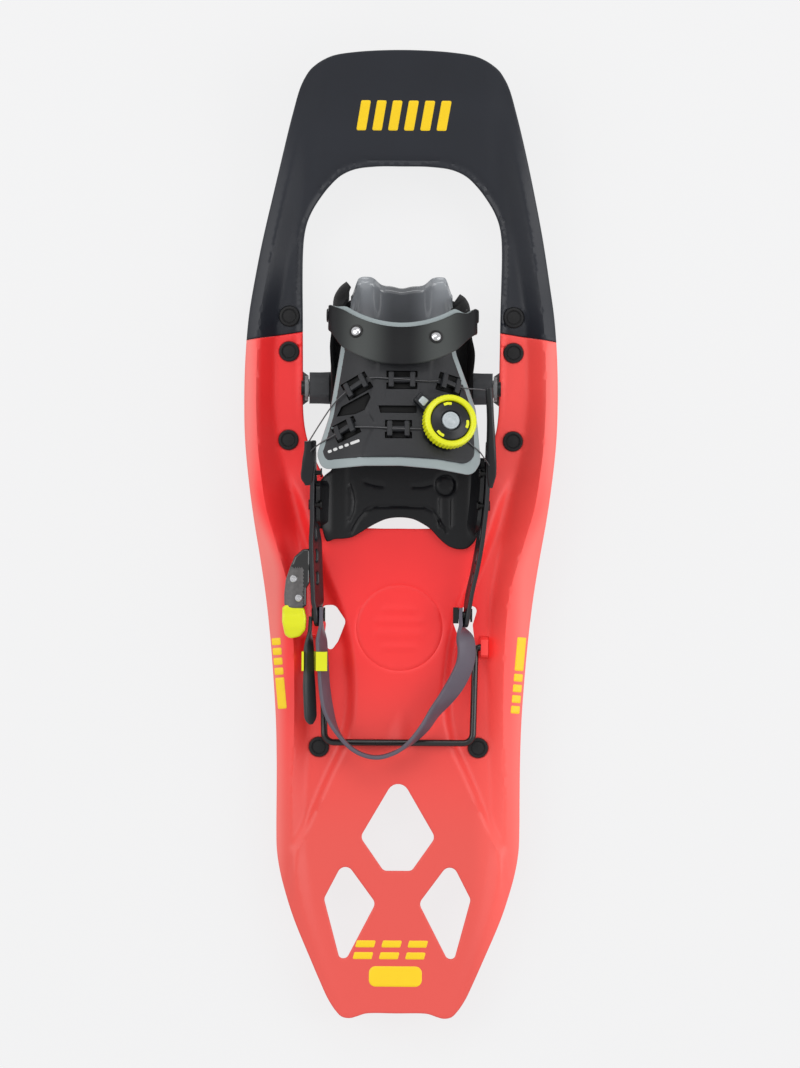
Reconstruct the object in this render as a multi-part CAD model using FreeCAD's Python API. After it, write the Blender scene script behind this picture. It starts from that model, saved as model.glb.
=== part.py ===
import FreeCAD
import Part
import math
import os

# Snowshoe, one unit of a pair. Units are millimetres.
# +Z up, +Y towards the nose, +X to the wearer's right. The origin is on the ground under the
# middle of the outline: the tooth tips stand on z = 0, the nose is at +Y and the tail at -Y.

Vec = FreeCAD.Vector
UP = (0, 0, 1)
ALONG_X = (1, 0, 0)
SIDES = (-1, 1)                 # left, right
os.makedirs("parts", exist_ok=True)

# ---------------------------------------------------------------- driving dimensions
FLOOR = 23.0                    # upper face of the deck floor
SKIN = 3.0                      # deck wall thickness, measured vertically
POCKET = 0.6                    # depth of the seats under rivet heads and lift brackets
POCKET_Z = FLOOR - POCKET
SEAT_Z = POCKET_Z + 0.03        # underside of what sits in a pocket
PIVOT_Y, PIVOT_Z = 91.5, 28.5   # toe cord axis, along X
PIN_R = 3.0                     # toe cord pin
SHEET = 2.0                     # thickness of the rails and the toe crampon
RAIL_TOP = 19.65                # upper face of the rails' flanges, just clear of the deck
RAIL_UNDER = RAIL_TOP - SHEET
EAR_X0, EAR_X1 = 58.4, 60.4     # rail ear that carries the pin
RIVET_X, RIVET_YS = 70.7, (136.8, 114.5, 58.8)
REAR_RIVET = (50.1, -134.5)
RIVET_R, RIVET_HEAD_R = 3.0, 6.1
RIVET_HOLE_R = RIVET_R + 0.2
LIFT_Y, LIFT_Z = -71.0, 27.5    # heel lift axis, along X
WIRE_R = 2.1                    # heel lift bar
CORD_HALF = 2.0                 # half thickness of the toe cord
CORD_UNDER = PIVOT_Z - CORD_HALF - 0.05   # upper face of the toe crampon
PLATFORM_Z0 = PIVOT_Z + CORD_HALF + 0.05
PLATFORM_Z1 = PLATFORM_Z0 + 4.0
STRAP_Y, STRAP_Z = -50.7, 42.5  # heel strap axis, along X
HARNESS_Y, HARNESS_Z = 136.0, 57.0   # instep harness axis, along X
LEVER_X, LEVER_Y = -65.0, -41.0      # buckle lever axis, along Z
DIAL_XY = (28.2, 67.6)
DIAL_TILT_X, DIAL_TILT_Y = -13.0, 13.0   # degrees


# ---------------------------------------------------------------- numbers along a line
def station_value(stations, y, column):
    """Monotone cubic interpolation of one column of a table whose column 0 is the station."""
    rows = sorted(stations)
    if y <= rows[0][0]:
        return rows[0][column]
    if y >= rows[-1][0]:
        return rows[-1][column]
    i = next(k for k in range(len(rows) - 1) if rows[k][0] <= y <= rows[k + 1][0])

    def slope(k):
        return (rows[k + 1][column] - rows[k][column]) / (rows[k + 1][0] - rows[k][0])

    def knot_slope(one, other):
        return 0 if one * other <= 0 else 2 * one * other / (one + other)

    here = slope(i)
    start = knot_slope(slope(i - 1), here) if i > 0 else here
    end = knot_slope(slope(i + 1), here) if i < len(rows) - 2 else here
    span = rows[i + 1][0] - rows[i][0]
    t = (y - rows[i][0]) / span
    return ((2 * t**3 - 3 * t**2 + 1) * rows[i][column]
            + (t**3 - 2 * t**2 + t) * span * start
            + (-2 * t**3 + 3 * t**2) * rows[i + 1][column]
            + (t**3 - t**2) * span * end)


def smooth(t):
    """Step from 0 to 1 with level ends."""
    t = min(1.0, max(0.0, t))
    return t * t * (3 - 2 * t)


def soft_min(one, other, blend):
    return 0.5 * (one + other - math.sqrt((one - other) ** 2 + blend * blend))


def soft_max(one, other, blend):
    return 0.5 * (one + other + math.sqrt((one - other) ** 2 + blend * blend))


# ---------------------------------------------------------------- shape helpers
def save(name, *shapes):
    """Write every solid of the shapes to one STEP file."""
    solids = [solid for shape in shapes for solid in shape.Solids]
    assert solids, name
    piece = solids[0] if len(solids) == 1 else Part.makeCompound(solids)
    piece.exportStep("parts/%s.step" % name)


def box(x0, x1, y0, y1, z0, z1):
    """Box between two corners; the two x values may come in either order."""
    x0, x1 = sorted((x0, x1))
    return Part.makeBox(x1 - x0, y1 - y0, z1 - z0, Vec(x0, y0, z0))


def cylinder(radius, base, direction, length):
    return Part.makeCylinder(radius, length, Vec(*base), Vec(*direction))


def disc(radius, z, height):
    """Upright cylinder on the local Z axis."""
    return Part.makeCylinder(radius, height, Vec(0, 0, z))


def cross_bore(radius, y, z):
    """Cutter along X through the full width of the binding."""
    return cylinder(radius, (-80, y, z), ALONG_X, 160)


def deck_bore(radius, x, y):
    """Upright cutter for a rivet hole in the deck, rails or heel crampon."""
    return cylinder(radius, (x, y, 0), UP, 40)


def fused(first, *others):
    return first.fuse(list(others)).removeSplitter()


def largest(shape):
    return max(shape.Solids, key=lambda solid: solid.Volume)


def mirrored(shape):
    """Mirror image across the centre plane."""
    return shape.mirror(Vec(0, 0, 0), Vec(1, 0, 0))


def dome(radius, height, z):
    """Low domed head, flat underneath at z."""
    ball_r = (radius * radius + height * height) / (2 * height)
    ball = Part.makeSphere(ball_r, Vec(0, 0, z + height - ball_r))
    return ball.common(disc(radius + 1, z, height + 5))


def curve_edge(points):
    curve = Part.BSplineCurve()
    curve.interpolate(points)
    return curve.toShape()


def closed_curve(points):
    curve = Part.BSplineCurve()
    curve.interpolate([Vec(x, y, 0) for x, y in points], PeriodicFlag=True)
    return Part.Wire([curve.toShape()])


def mirror_closed(half):
    """Full outline from its right half, whose first and last points lie on the centre line."""
    return half + [(-x, y) for x, y in reversed(half[1:-1])]


def prism(wire, z0, z1):
    face = Part.Face(wire)
    face.translate(Vec(0, 0, z0))
    return face.extrude(Vec(0, 0, z1 - z0))


def corner_arc(corner, before, after, radius):
    """Start, middle and end of the arc that rounds a corner."""
    to_before, to_after = (before - corner).normalize(), (after - corner).normalize()
    half = 0.5 * to_before.getAngle(to_after)
    if radius <= 0 or half > math.pi / 2 - 1e-3:
        return corner, None, corner
    setback = min(radius / math.tan(half), 0.48 * (before - corner).Length,
                  0.48 * (after - corner).Length)
    true_r = setback * math.tan(half)
    centre = corner + (to_before + to_after).normalize() * (true_r / math.sin(half))
    middle = centre + (corner - centre).normalize() * true_r
    return corner + to_before * setback, middle, corner + to_after * setback


def rounded(points, radius):
    """Closed wire through coplanar vectors, corners rounded by one radius or one each."""
    count = len(points)
    radii = radius if isinstance(radius, (list, tuple)) else [radius] * count
    corners = [corner_arc(points[i], points[i - 1], points[(i + 1) % count], radii[i])
               for i in range(count)]
    edges = []
    for i in range(count):
        start, middle, end = corners[i]
        if middle is not None:
            edges.append(Part.Arc(start, middle, end).toShape())
        following = corners[(i + 1) % count][0]
        if (following - end).Length > 1e-6:
            edges.append(Part.makeLine(end, following))
    return Part.Wire(edges)


def plate(points, radius, z0, z1):
    return prism(rounded([Vec(x, y, 0) for x, y in points], radius), z0, z1)


def slab_x(points, x, thickness, radius=0):
    """Plate standing across X, from an outline of (y, z) points."""
    face = Part.Face(rounded([Vec(x, y, z) for y, z in points], radius))
    return face.extrude(Vec(thickness, 0, 0))


def slab_y(points, y, thickness):
    """Plate standing across Y, from an outline of (x, z) points."""
    face = Part.Face(rounded([Vec(x, y, z) for x, z in points], 0))
    return face.extrude(Vec(0, thickness, 0))


def surface(grid):
    sheet = Part.BSplineSurface()
    sheet.interpolate(grid)
    return sheet.toShape()


def borders(grid):
    return [grid[0], grid[-1], [row[0] for row in grid], [row[-1] for row in grid]]


def edge_along(face, points):
    """The face's edge nearest to the ends and middle of a row of points."""
    marks = [Part.Vertex(p) for p in (points[0], points[-1], points[len(points) // 2])]
    return min(face.Edges, key=lambda edge: sum(edge.distToShape(m)[0] for m in marks))


def closed_shell(top, bottom):
    """A solid between two matching grids of points."""
    top_face, bottom_face = surface(top), surface(bottom)
    faces = [top_face, bottom_face]
    for top_row, bottom_row in zip(borders(top), borders(bottom)):
        faces.append(Part.makeRuledSurface(edge_along(top_face, top_row),
                                           edge_along(bottom_face, bottom_row)))
    shell = Part.makeShell(faces)
    shell.sewShape(1e-4)
    # sewing may hand back another type of shape
    if shell.ShapeType != "Shell":
        shell = Part.makeShell(shell.Faces)
    solid = Part.makeSolid(shell)
    if solid.Volume < 0:
        solid.reverse()
    if not solid.isValid():
        solid.fix(1e-4, 1e-4, 1e-3)
    return solid


def band(path, width, thickness, lean=None, count=24):
    """A strap on edge along a path of (x, y, z) points.

    width may be a number or a function of the fraction run; lean(fraction) turns the width
    direction about the path, in degrees.
    """
    curve = Part.BSplineCurve()
    curve.interpolate([Vec(*point) for point in path])
    first, last = curve.FirstParameter, curve.LastParameter
    top, bottom = [], []
    for i in range(count):
        parameter = first + (last - first) * i / (count - 1)
        point, tangent = curve.value(parameter), curve.tangent(parameter)[0]
        fraction = i / (count - 1)
        sideways = tangent.cross(Vec(*UP)).normalize()
        upright = sideways.cross(tangent).normalize()
        angle = math.radians(lean(fraction)) if lean else 0.0
        width_dir = upright * math.cos(angle) + sideways * math.sin(angle)
        normal = sideways * math.cos(angle) - upright * math.sin(angle)
        half_width = (width(fraction) if callable(width) else width) / 2.0
        for grid, sign in ((top, 1), (bottom, -1)):
            grid.append([point + normal * (sign * thickness / 2.0) + width_dir * (half_width * k)
                         for k in (-1, -0.34, 0.34, 1)])
    return closed_shell(top, bottom)


def sweep_round(wire, radius, start, direction):
    profile = Part.Wire([Part.makeCircle(radius, start, direction)])
    return wire.makePipeShell([profile], True, False)


def rod(points, radius, bends):
    """A round bar along a line of points, each inner corner bent to its radius."""
    points = [Vec(*point) for point in points]
    edges, last = [], points[0]
    for i in range(1, len(points) - 1):
        start, middle, end = corner_arc(points[i], points[i - 1], points[i + 1], bends[i])
        edges.append(Part.makeLine(last, start))
        edges.append(Part.Arc(start, middle, end).toShape())
        last = end
    edges.append(Part.makeLine(last, points[-1]))
    return sweep_round(Part.Wire(edges), radius, points[0], (points[1] - points[0]).normalize())


def toothed(start, end, top_z, tips, valley, tip_flat=1.4):
    """Outline of a blade in a (run, z) plane; tips are (run, tip z, half width at the root)."""
    points = [(start, top_z), (start, valley)]
    for centre, tip_z, root in tips:
        points += [(centre - root, valley), (centre - tip_flat / 2, tip_z),
                   (centre + tip_flat / 2, tip_z), (centre + root, valley)]
    points += [(end, valley), (end, top_z)]
    outline = []
    for x, z in points:
        if not outline or abs(x - outline[-1][0]) + abs(z - outline[-1][1]) > 1e-6:
            outline.append((x, z))
    return outline


# ---------------------------------------------------------------- deck
# Y, half width of the deck
OUTLINE = [
    (302.1, 41.6), (300.8, 46.6), (298.3, 52.0), (295.8, 55.8), (292.0, 59.9), (285.7, 63.6),
    (279.4, 66.2), (266.8, 69.9), (254.2, 73.4), (235.3, 78.1), (210.1, 83.7), (184.9, 88.7),
    (159.7, 92.8), (134.5, 96.4), (109.3, 98.2), (84.1, 98.7), (58.9, 98.0), (33.7, 95.5),
    (8.5, 92.0), (-16.7, 87.7), (-41.9, 83.9), (-67.1, 81.1), (-92.3, 79.0), (-117.5, 77.4),
    (-142.7, 76.7), (-167.9, 76.6), (-186.0, 76.6), (-199.4, 76.2), (-212.0, 74.3),
    (-224.6, 71.1), (-243.5, 64.8), (-268.7, 54.2), (-281.3, 48.7), (-293.0, 43.2)]
# X, Y of the right half of each end, from the outline in to the centre line
NOSE = [(31.0, 303.5), (19.0, 304.4), (0.0, 304.9)]
TAIL = [(38.4, -300.2), (34.5, -304.0), (29.5, -304.9), (24.5, -303.6), (19.5, -302.0),
        (0.0, -301.8)]
# side ridge: Y, flange width, inner slope width, crest height, drop to the outer edge
RIDGE = [
    (310, 6.0, 9.0, 0.0, 0.0), (280, 6.5, 9.5, 0.6, 0.4), (250, 7.0, 10.5, 2.6, 1.4),
    (200, 7.4, 12.0, 7.0, 3.2), (150, 7.2, 11.6, 9.0, 4.2), (84, 7.6, 11.4, 10.0, 4.6),
    (55, 8.0, 12.8, 11.4, 5.0), (20, 8.6, 16.6, 14.6, 6.0), (-5, 11.6, 15.0, 14.0, 6.6),
    (-42, 15.4, 11.6, 12.2, 7.0), (-75, 14.2, 10.6, 10.4, 6.6), (-105, 12.4, 10.0, 8.8, 6.0),
    (-135, 10.8, 9.4, 7.6, 5.2), (-168, 9.6, 9.0, 6.4, 4.4), (-205, 9.6, 9.0, 4.4, 3.4),
    (-245, 7.0, 7.6, 2.4, 2.0), (-275, 5.0, 6.0, 1.3, 1.2), (-312, 3.4, 5.0, 0.4, 0.4)]
# raised heel pad in the middle of the tail deck: Y, half width, height
PAD = [
    (60, 74.0, 0.0), (46, 70.0, 0.0), (20, 60.0, 4.6), (0, 54.0, 6.0), (-19, 47.0, 6.0),
    (-43, 36.4, 6.0), (-60, 31.2, 6.0), (-75, 28.2, 6.0), (-99, 26.4, 6.0), (-113, 27.0, 6.0),
    (-128, 30.0, 5.9), (-155, 41.4, 5.4), (-181, 52.6, 4.8), (-203, 62.0, 4.2),
    (-240, 66.0, 3.4), (-275, 60.0, 2.6), (-312, 56.0, 2.0)]
PAD_SLOPE = 7.5
# straight run-outs of the surface: Y where they start, half width there, slope
NOSE_RUNOUT = (254.2, 73.4, -0.272)
TAIL_RUNOUT = (-281.3, 48.7, 0.44)
# upturned ends: Y where the rise starts, length of the rise, height gained
NOSE_RISE = (145, 160.0, 47.0)
TAIL_RISE = (-225, 80.0, 4.0)
# raised middle of the nose: Y where it starts, length of its ramp, height, half width, slope
NOSE_PAD = (205, 45.0, 3.0, 50, 16.0)
# X, Y of the right half of the main opening, from its nose end to its tail end
MAIN_OPENING = [
    (0.0, 230.6), (17.2, 230.4), (31.0, 228.6), (40.0, 224.6), (47.0, 218.2), (53.0, 210.6),
    (57.8, 202.8), (60.8, 195.4), (62.4, 187.0), (62.9, 176.0), (62.7, 159.0), (62.3, 140.8),
    (62.1, 121.9), (61.9, 103.0), (61.8, 84.1), (61.4, 74.7), (60.2, 65.2), (57.6, 55.4),
    (53.2, 45.6), (48.6, 36.4), (44.6, 26.4), (41.0, 16.0), (36.2, 8.4), (28.0, 4.4),
    (14.0, 3.4), (0.0, 3.4)]
# smaller openings in the tail deck: X, Y of the corners, and a radius for each
CENTRE_HOLE = [(0.0, -150.5), (23.6, -191.0), (8.8, -212.2), (-8.8, -212.2), (-23.6, -191.0)]
CENTRE_HOLE_R = [7, 5, 4, 4, 5]
TAIL_HOLE = [(33.6, -205.5), (13.6, -232.6), (31.6, -267.5), (36.2, -267.5), (46.2, -230.0)]
TAIL_HOLE_R = [5, 5, 4, 4, 5]
HEEL_HOLE = [(49.6, -45.4), (40.5, -44.9), (33.6, -55.0), (38.6, -68.0), (44.0, -75.6),
             (47.4, -66.5), (46.2, -57.0)]
HEEL_HOLE_R = [3, 5, 4, 5, 3, 5, 5]
CUT_Z = (-20, 120)              # height range of cutters that pass right through the deck
SEAM_IN, SEAM_OUT = 127.0, 121.3     # Y of the joint between the decks, inner and outer end
SEAM_GAP = 0.25
SEAM = [(0, SEAM_IN + 30), (-62, SEAM_IN), (-99, SEAM_OUT), (-140, SEAM_OUT - 5), (-140, -400),
        (140, -400), (140, SEAM_OUT - 5), (99, SEAM_OUT), (62, SEAM_IN)]
DECK_RIVETS = ([(m * RIVET_X, y) for y in RIVET_YS for m in SIDES]
               + [(m * REAR_RIVET[0], REAR_RIVET[1]) for m in SIDES])


def side(y):
    """Half width of the surface: the outline with its rounded end corners run out straight."""
    for sign, (start, width, slope) in ((1, NOSE_RUNOUT), (-1, TAIL_RUNOUT)):
        if sign * y > sign * start:
            return width + (y - start) * slope
    return station_value(OUTLINE, y, 1)


def deck_z(x, y):
    """Height of the deck's upper face."""
    flange, slope, crest, drop = (station_value(RIDGE, y, column) for column in (1, 2, 3, 4))
    inset = side(y) - abs(x)
    outer = crest - drop * (flange - inset) / flange
    inner = crest * (1 - (inset - flange) / slope)
    ridge = soft_max(soft_min(outer, inner, 1.0), 0.0, 1.2)
    pad_half, pad_height = station_value(PAD, y, 1), station_value(PAD, y, 2)
    pad = pad_height * (1 - smooth((abs(x) - pad_half) / PAD_SLOPE))
    z = FLOOR + ridge + pad
    start, length, height = NOSE_RISE
    if y > start:
        z += height * ((y - start) / length) ** 2
    start, length, height, half_width, slope = NOSE_PAD
    if y > start:
        z += (height * smooth((y - start) / length)
              * (1 - smooth((abs(x) - half_width) / slope)))
    start, length, height = TAIL_RISE
    if y < start:
        z += height * ((start - y) / length) ** 2
    return z


def deck_surface():
    grid = []
    for i in range(63):
        y = -316 + i * 10.1
        half_width = side(y) + 4.0
        xs = [half_width * k / 30.0 for k in range(-30, 31)]
        grid.append([Vec(x, y, deck_z(x, y)) for x in xs])
    return surface(grid)


def deck_cutters():
    cutters = [prism(closed_curve(mirror_closed(MAIN_OPENING)), *CUT_Z),
               plate(CENTRE_HOLE, CENTRE_HOLE_R, *CUT_Z)]
    for corners, radii in ((TAIL_HOLE, TAIL_HOLE_R), (HEEL_HOLE, HEEL_HOLE_R)):
        cutters.append(plate(corners, radii, *CUT_Z))
        cutters.append(plate([(-x, y) for x, y in corners[::-1]], radii[::-1], *CUT_Z))
    for x, y in DECK_RIVETS:
        cutters.append(deck_bore(RIVET_HOLE_R, x, y))
        cutters.append(cylinder(RIVET_HEAD_R + 0.5, (x, y, POCKET_Z), UP, 20))
    for m in SIDES:             # seats of the heel lift brackets
        cutters.append(box(m * 50.2, m * 56.2, LIFT_Y - 6.8, LIFT_Y + 6.8, POCKET_Z, 60))
    return cutters


def deck():
    right_half = TAIL[::-1] + [(width, y) for y, width in reversed(OUTLINE)] + NOSE
    outline = closed_curve(mirror_closed(right_half))
    body = deck_surface().extrude(Vec(0, 0, -SKIN)).common(prism(outline, *CUT_Z))
    for cutter in deck_cutters():
        body = body.cut(cutter)
    return body


deck_body = deck()
save("tail_deck", deck_body.common(plate(SEAM, 0, *CUT_Z)))
save("nose_deck", deck_body.cut(plate([(x, y + SEAM_GAP) for x, y in SEAM], 0, *CUT_Z)))

# ---------------------------------------------------------------- traction rails
# X, Y of the right rail's middle line
RAIL_PATH = [(64.6, 150), (64.6, 120), (64.4, 90), (63.6, 60), (61.6, 30), (59.4, 0),
             (57.8, -35), (57.2, -70), (57.2, -110), (57.2, -150)]
RAIL_PITCH = 11.6
LONG_TOOTH, SHORT_TOOTH = (0.0, 4.6), (2.2, 3.8)     # tip z, half width at the root
RAIL_FLANGE = [(63.6, 148), (80.0, 148), (80.0, 46), (70.5, 38), (62.6, 38), (62.8, 60)]
REAR_FLANGE = [(57.4, -121), (46, -121), (40.5, -127), (40.5, -142), (46, -148), (57.4, -148)]
EAR_WEB = [(65.2, PIVOT_Y - 13), (EAR_X0, PIVOT_Y - 8), (EAR_X0, PIVOT_Y + 8),
           (65.2, PIVOT_Y + 13)]
EAR = [(PIVOT_Y - 8, RAIL_UNDER), (PIVOT_Y + 8, RAIL_UNDER), (PIVOT_Y + 7, PIVOT_Z + 6.6),
       (PIVOT_Y - 7, PIVOT_Z + 6.6)]


def rail_blade():
    """Toothed wall that follows the rail's curved path."""
    half = SHEET / 2
    inner, outer = (curve_edge([Vec(x + offset, y, 0) for x, y in RAIL_PATH])
                    for offset in (-half, half))
    ends = [Part.makeLine(Vec(x - s * half, y, 0), Vec(x + s * half, y, 0))
            for (x, y), s in ((RAIL_PATH[-1], 1), (RAIL_PATH[0], -1))]
    wall = prism(Part.Wire([inner, ends[0], outer, ends[1]]), -1, 25)
    tips = [(-141 + i * RAIL_PITCH, *(LONG_TOOTH if i % 2 == 0 else SHORT_TOOTH))
            for i in range(25)]
    return wall.common(slab_x(toothed(-150, 150, RAIL_TOP, tips, 9.0), 0, 90))


def traction_rail():
    rail = rail_blade().fuse([
        plate(RAIL_FLANGE, [2, 6, 6, 4, 0, 0], RAIL_UNDER, RAIL_TOP),
        plate(REAR_FLANGE, [0, 4, 3, 3, 4, 0], RAIL_UNDER, RAIL_TOP),
        plate(EAR_WEB, 0, RAIL_UNDER, RAIL_TOP),
        slab_x(EAR, EAR_X0, EAR_X1 - EAR_X0, [0, 0, 5, 5])])
    for y in RIVET_YS:
        rail = rail.cut(deck_bore(RIVET_HOLE_R, RIVET_X, y))
    rail = rail.cut(deck_bore(RIVET_HOLE_R, *REAR_RIVET))
    rail = rail.cut(cylinder(PIN_R + 0.04, (40, PIVOT_Y, PIVOT_Z), ALONG_X, 40))
    return rail.removeSplitter()


right_rail = traction_rail()
save("traction_rail_right", right_rail)
save("traction_rail_left", mirrored(right_rail))

# ---------------------------------------------------------------- deck rivets
SHANK_Z = 15.7                  # lower end of a deck rivet's shank


def deck_rivet(x, y):
    shank = disc(RIVET_R, SHANK_Z, SEAT_Z - SHANK_Z)
    head = disc(RIVET_HEAD_R, SEAT_Z, 1.2).fuse(dome(RIVET_HEAD_R - 0.5, 1.3, SEAT_Z + 1.15))
    lower_end = disc(3.9 if abs(x) < 60 else 4.6, 14.1, 1.6)
    rivet = fused(shank, head, lower_end)
    rivet.translate(Vec(x, y, 0))
    return rivet


def rivet_washer(x, y):
    washer = cylinder(4.9, (x, y, 15.8), UP, 1.7)
    return washer.cut(cylinder(RIVET_HOLE_R, (x, y, 15), UP, 4))


save("deck_rivets", *[deck_rivet(x, y) for x, y in DECK_RIVETS])
save("rivet_washers", *[rivet_washer(x, y) for x, y in DECK_RIVETS if abs(x) > 60])

# ---------------------------------------------------------------- heel crampon
CRAMPON_TOP = 17.6
# X, Y of the bent blade seen from above, and of the flange on top of it
HEEL_BLADE = [(-54, -128), (-44, -127), (0, -104), (44, -127), (54, -128), (54, -130.2),
              (43.6, -129.4), (0, -106.6), (-43.6, -129.4), (-54, -130.2)]
HEEL_FLANGE = [(-56, -128.0), (-44, -127), (0, -104), (44, -127), (56, -128.0), (56, -141),
               (42, -141), (0, -119), (-42, -141), (-56, -141)]
HEEL_TIPS = [(-45, 0.0, 6.2), (-31, 0.0, 6.2), (-16.5, 0.0, 6.2), (0, 0.0, 6.4),
             (16.5, 0.0, 6.2), (31, 0.0, 6.2), (45, 0.0, 6.2)]


def heel_crampon():
    profile = toothed(-54, 54, CRAMPON_TOP, HEEL_TIPS, 7.5, 1.6)
    blade = plate(HEEL_BLADE, 0, -1, CRAMPON_TOP).common(slab_y(profile, -160, 80))
    flange = plate(HEEL_FLANGE, [3, 2, 4, 2, 3, 4, 3, 6, 3, 4], 15.8, CRAMPON_TOP)
    crampon = flange.fuse(blade)
    for m in SIDES:
        crampon = crampon.cut(deck_bore(RIVET_HOLE_R, m * REAR_RIVET[0], REAR_RIVET[1]))
    return crampon.removeSplitter()


save("heel_crampon", heel_crampon())


# ---------------------------------------------------------------- toe cord pins
def on_pivot(radius, x, m, length):
    """Cylinder on the toe cord axis, running outwards from x on side m."""
    return cylinder(radius, (m * x, PIVOT_Y, PIVOT_Z), (m, 0, 0), length)


def toe_cord_pin(m):
    """Headed pin through a rail ear."""
    return fused(on_pivot(PIN_R, 50.3, m, 60.55 - 50.3), on_pivot(4.7, 60.5, m, 2.3))


def pivot_washer(m):
    return on_pivot(5.6, 57.75, m, 0.6).cut(on_pivot(PIN_R + 0.05, 57, m, 3))


save("toe_cord_pins", *[toe_cord_pin(m) for m in (1, -1)])
save("pivot_washers", *[pivot_washer(m) for m in (1, -1)])

# ---------------------------------------------------------------- heel lift
BRACKET_R = 6.5                 # half length of a bracket and radius of its rounded top
BRACKET_X0, BRACKET_X1 = 51.4, 55.9
BAIL = [(54.9, LIFT_Y, LIFT_Z), (48.0, LIFT_Y, LIFT_Z), (46.6, -131.2, 32.2)]


def lift_bracket():
    y0, y1 = LIFT_Y - BRACKET_R, LIFT_Y + BRACKET_R
    block = box(BRACKET_X0, BRACKET_X1, y0, y1, SEAT_Z, LIFT_Z + 4.4)
    rounding = cylinder(BRACKET_R, (50, LIFT_Y, LIFT_Z), ALONG_X, 8)
    block = block.common(rounding.fuse(box(50, 57, y0, y1, 20, LIFT_Z)))
    return block.cut(cylinder(WIRE_R + 0.06, (49, LIFT_Y, LIFT_Z), ALONG_X, 6.2))


def bracket_screw(x, y):
    return cylinder(1.5, (x, y, 17.0), UP, 2.9).fuse(cylinder(2.9, (x, y, 15.6), UP, 1.5))


right_bracket = lift_bracket()
save("lift_brackets", right_bracket, mirrored(right_bracket))
save("lift_bracket_screws",
     *[bracket_screw(m * 53.2, LIFT_Y + end * 4.6) for m in SIDES for end in (-1, 1)])
save("heel_lift_bail", rod(BAIL + [(-x, y, z) for x, y, z in reversed(BAIL)], WIRE_R,
                           [0, 3.0, 6.0, 6.0, 3.0, 0]))

# ---------------------------------------------------------------- toe cord and toe crampon
# X, Y measured from the pivot axis
CORD = [(-50.6, 9.8), (-50.6, -9.8), (-40, -10.2), (-34, -17), (34, -17), (40, -10.2),
        (50.6, -9.8), (50.6, 9.8), (34, 10.5), (-34, 10.5)]
CORD_Z = (PIVOT_Z - CORD_HALF, PIVOT_Z + CORD_HALF)
PLATFORM_RIVETS = [(m * 24, y) for y in (PIVOT_Y + 5.5, PIVOT_Y - 10) for m in SIDES]
CRAMPON_X, CRAMPON_Y0, CRAMPON_Y1 = 36, 52, 142      # half width, rear and front ends
REAR_X = 22                     # half width of the rear end
# run, tip z, half width at the root
SIDE_TIPS = [(70, 0.0, 6.5), (86, 3.0, 5.5), (99, 0.0, 6.5), (116, 0.0, 6.5), (133, 0.0, 6.8)]
FRONT_TIPS = [(-25, 0.0, 7.0), (-8.5, 0.0, 6.5), (8.5, 0.0, 6.5), (25, 0.0, 7.0)]
REAR_TIPS = [(-12, 0.0, 7.5), (12, 0.0, 7.5)]


def cut_platform_rivets(shape, depth):
    """Holes for the rivets that join crampon, cord and platform."""
    for x, y in PLATFORM_RIVETS:
        shape = shape.cut(cylinder(2.6, (x, y, 20), UP, depth))
    return shape


def toe_cord():
    cord = plate([(x, PIVOT_Y + y) for x, y in CORD], [0, 0, 6, 8, 8, 6, 0, 0, 0, 0], *CORD_Z)
    for m in (1, -1):
        wing = box(m * 50.0, m * 57.6, PIVOT_Y - 9.8, PIVOT_Y + 9.8, *CORD_Z)
        cord = cord.fuse([on_pivot(5.3, 50.0, m, 7.6), wing])
    for m in (1, -1):
        cord = cord.cut(on_pivot(PIN_R + 0.05, 50.1, m, 9))
    return cut_platform_rivets(cord, 20).removeSplitter()


def toe_crampon():
    half, rear, front = CRAMPON_X, CRAMPON_Y0, CRAMPON_Y1
    top = plate([(-half, front), (-half, 62), (-REAR_X, rear), (REAR_X, rear), (half, 62),
                 (half, front)], [3, 5, 4, 4, 5, 3], CORD_UNDER - SHEET, CORD_UNDER)
    top = top.cut(plate([(-22, 130), (-22, 112), (22, 112), (22, 130)], 5, 20, 40))
    right = slab_x(toothed(60, front, CORD_UNDER, SIDE_TIPS, 10.0, 1.8), half - SHEET, SHEET)
    front_blade = slab_y(toothed(-half, half, CORD_UNDER, FRONT_TIPS, 9.0, 1.8),
                         front - SHEET, SHEET)
    rear_blade = slab_y(toothed(-REAR_X, REAR_X, CORD_UNDER, REAR_TIPS, 11.0, 1.8), rear, SHEET)
    crampon = top.fuse([right, mirrored(right), front_blade, rear_blade])
    return cut_platform_rivets(crampon, 20).removeSplitter()


save("toe_cord", toe_cord())
save("toe_crampon", toe_crampon())

# ---------------------------------------------------------------- foot platform
# X, Y clockwise from the middle of the front edge
PLATFORM = [
    (0, 147), (20, 148), (34, 146), (41, 140), (43.6, 128), (44.2, 110), (44.4, 90), (44.8, 70),
    (46.6, 54), (50.4, 43), (52.2, 34), (51.9, 22), (51.0, 12), (49.6, 3), (46.8, -4.5),
    (42, -8.8), (36, -9.2), (30.5, -7.4), (25, -3.0), (18.9, 3.4), (14, 6.6), (8, 9.2),
    (0, 10.2), (-8.4, 8.8), (-15.8, 4.4), (-22, -0.8), (-27.7, -4.4), (-34, -5.8), (-41, -6.2),
    (-46.0, -4.6), (-49.0, 2), (-50.6, 12), (-52.0, 26), (-51.6, 36), (-49.6, 44), (-46.0, 54),
    (-44.8, 70), (-44.4, 90), (-44.2, 110), (-43.6, 128), (-41, 140), (-34, 146), (-20, 148)]
# raised tread pad under the ball of the foot, a flat seat for the boot sole
TREAD = [(31.5, 74), (-31.5, 74), (-33.5, 50), (-30.5, 20), (-20, 17.5), (20, 17.5),
         (30.5, 20), (33.5, 50)]
TREAD_H = 0.6
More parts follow.
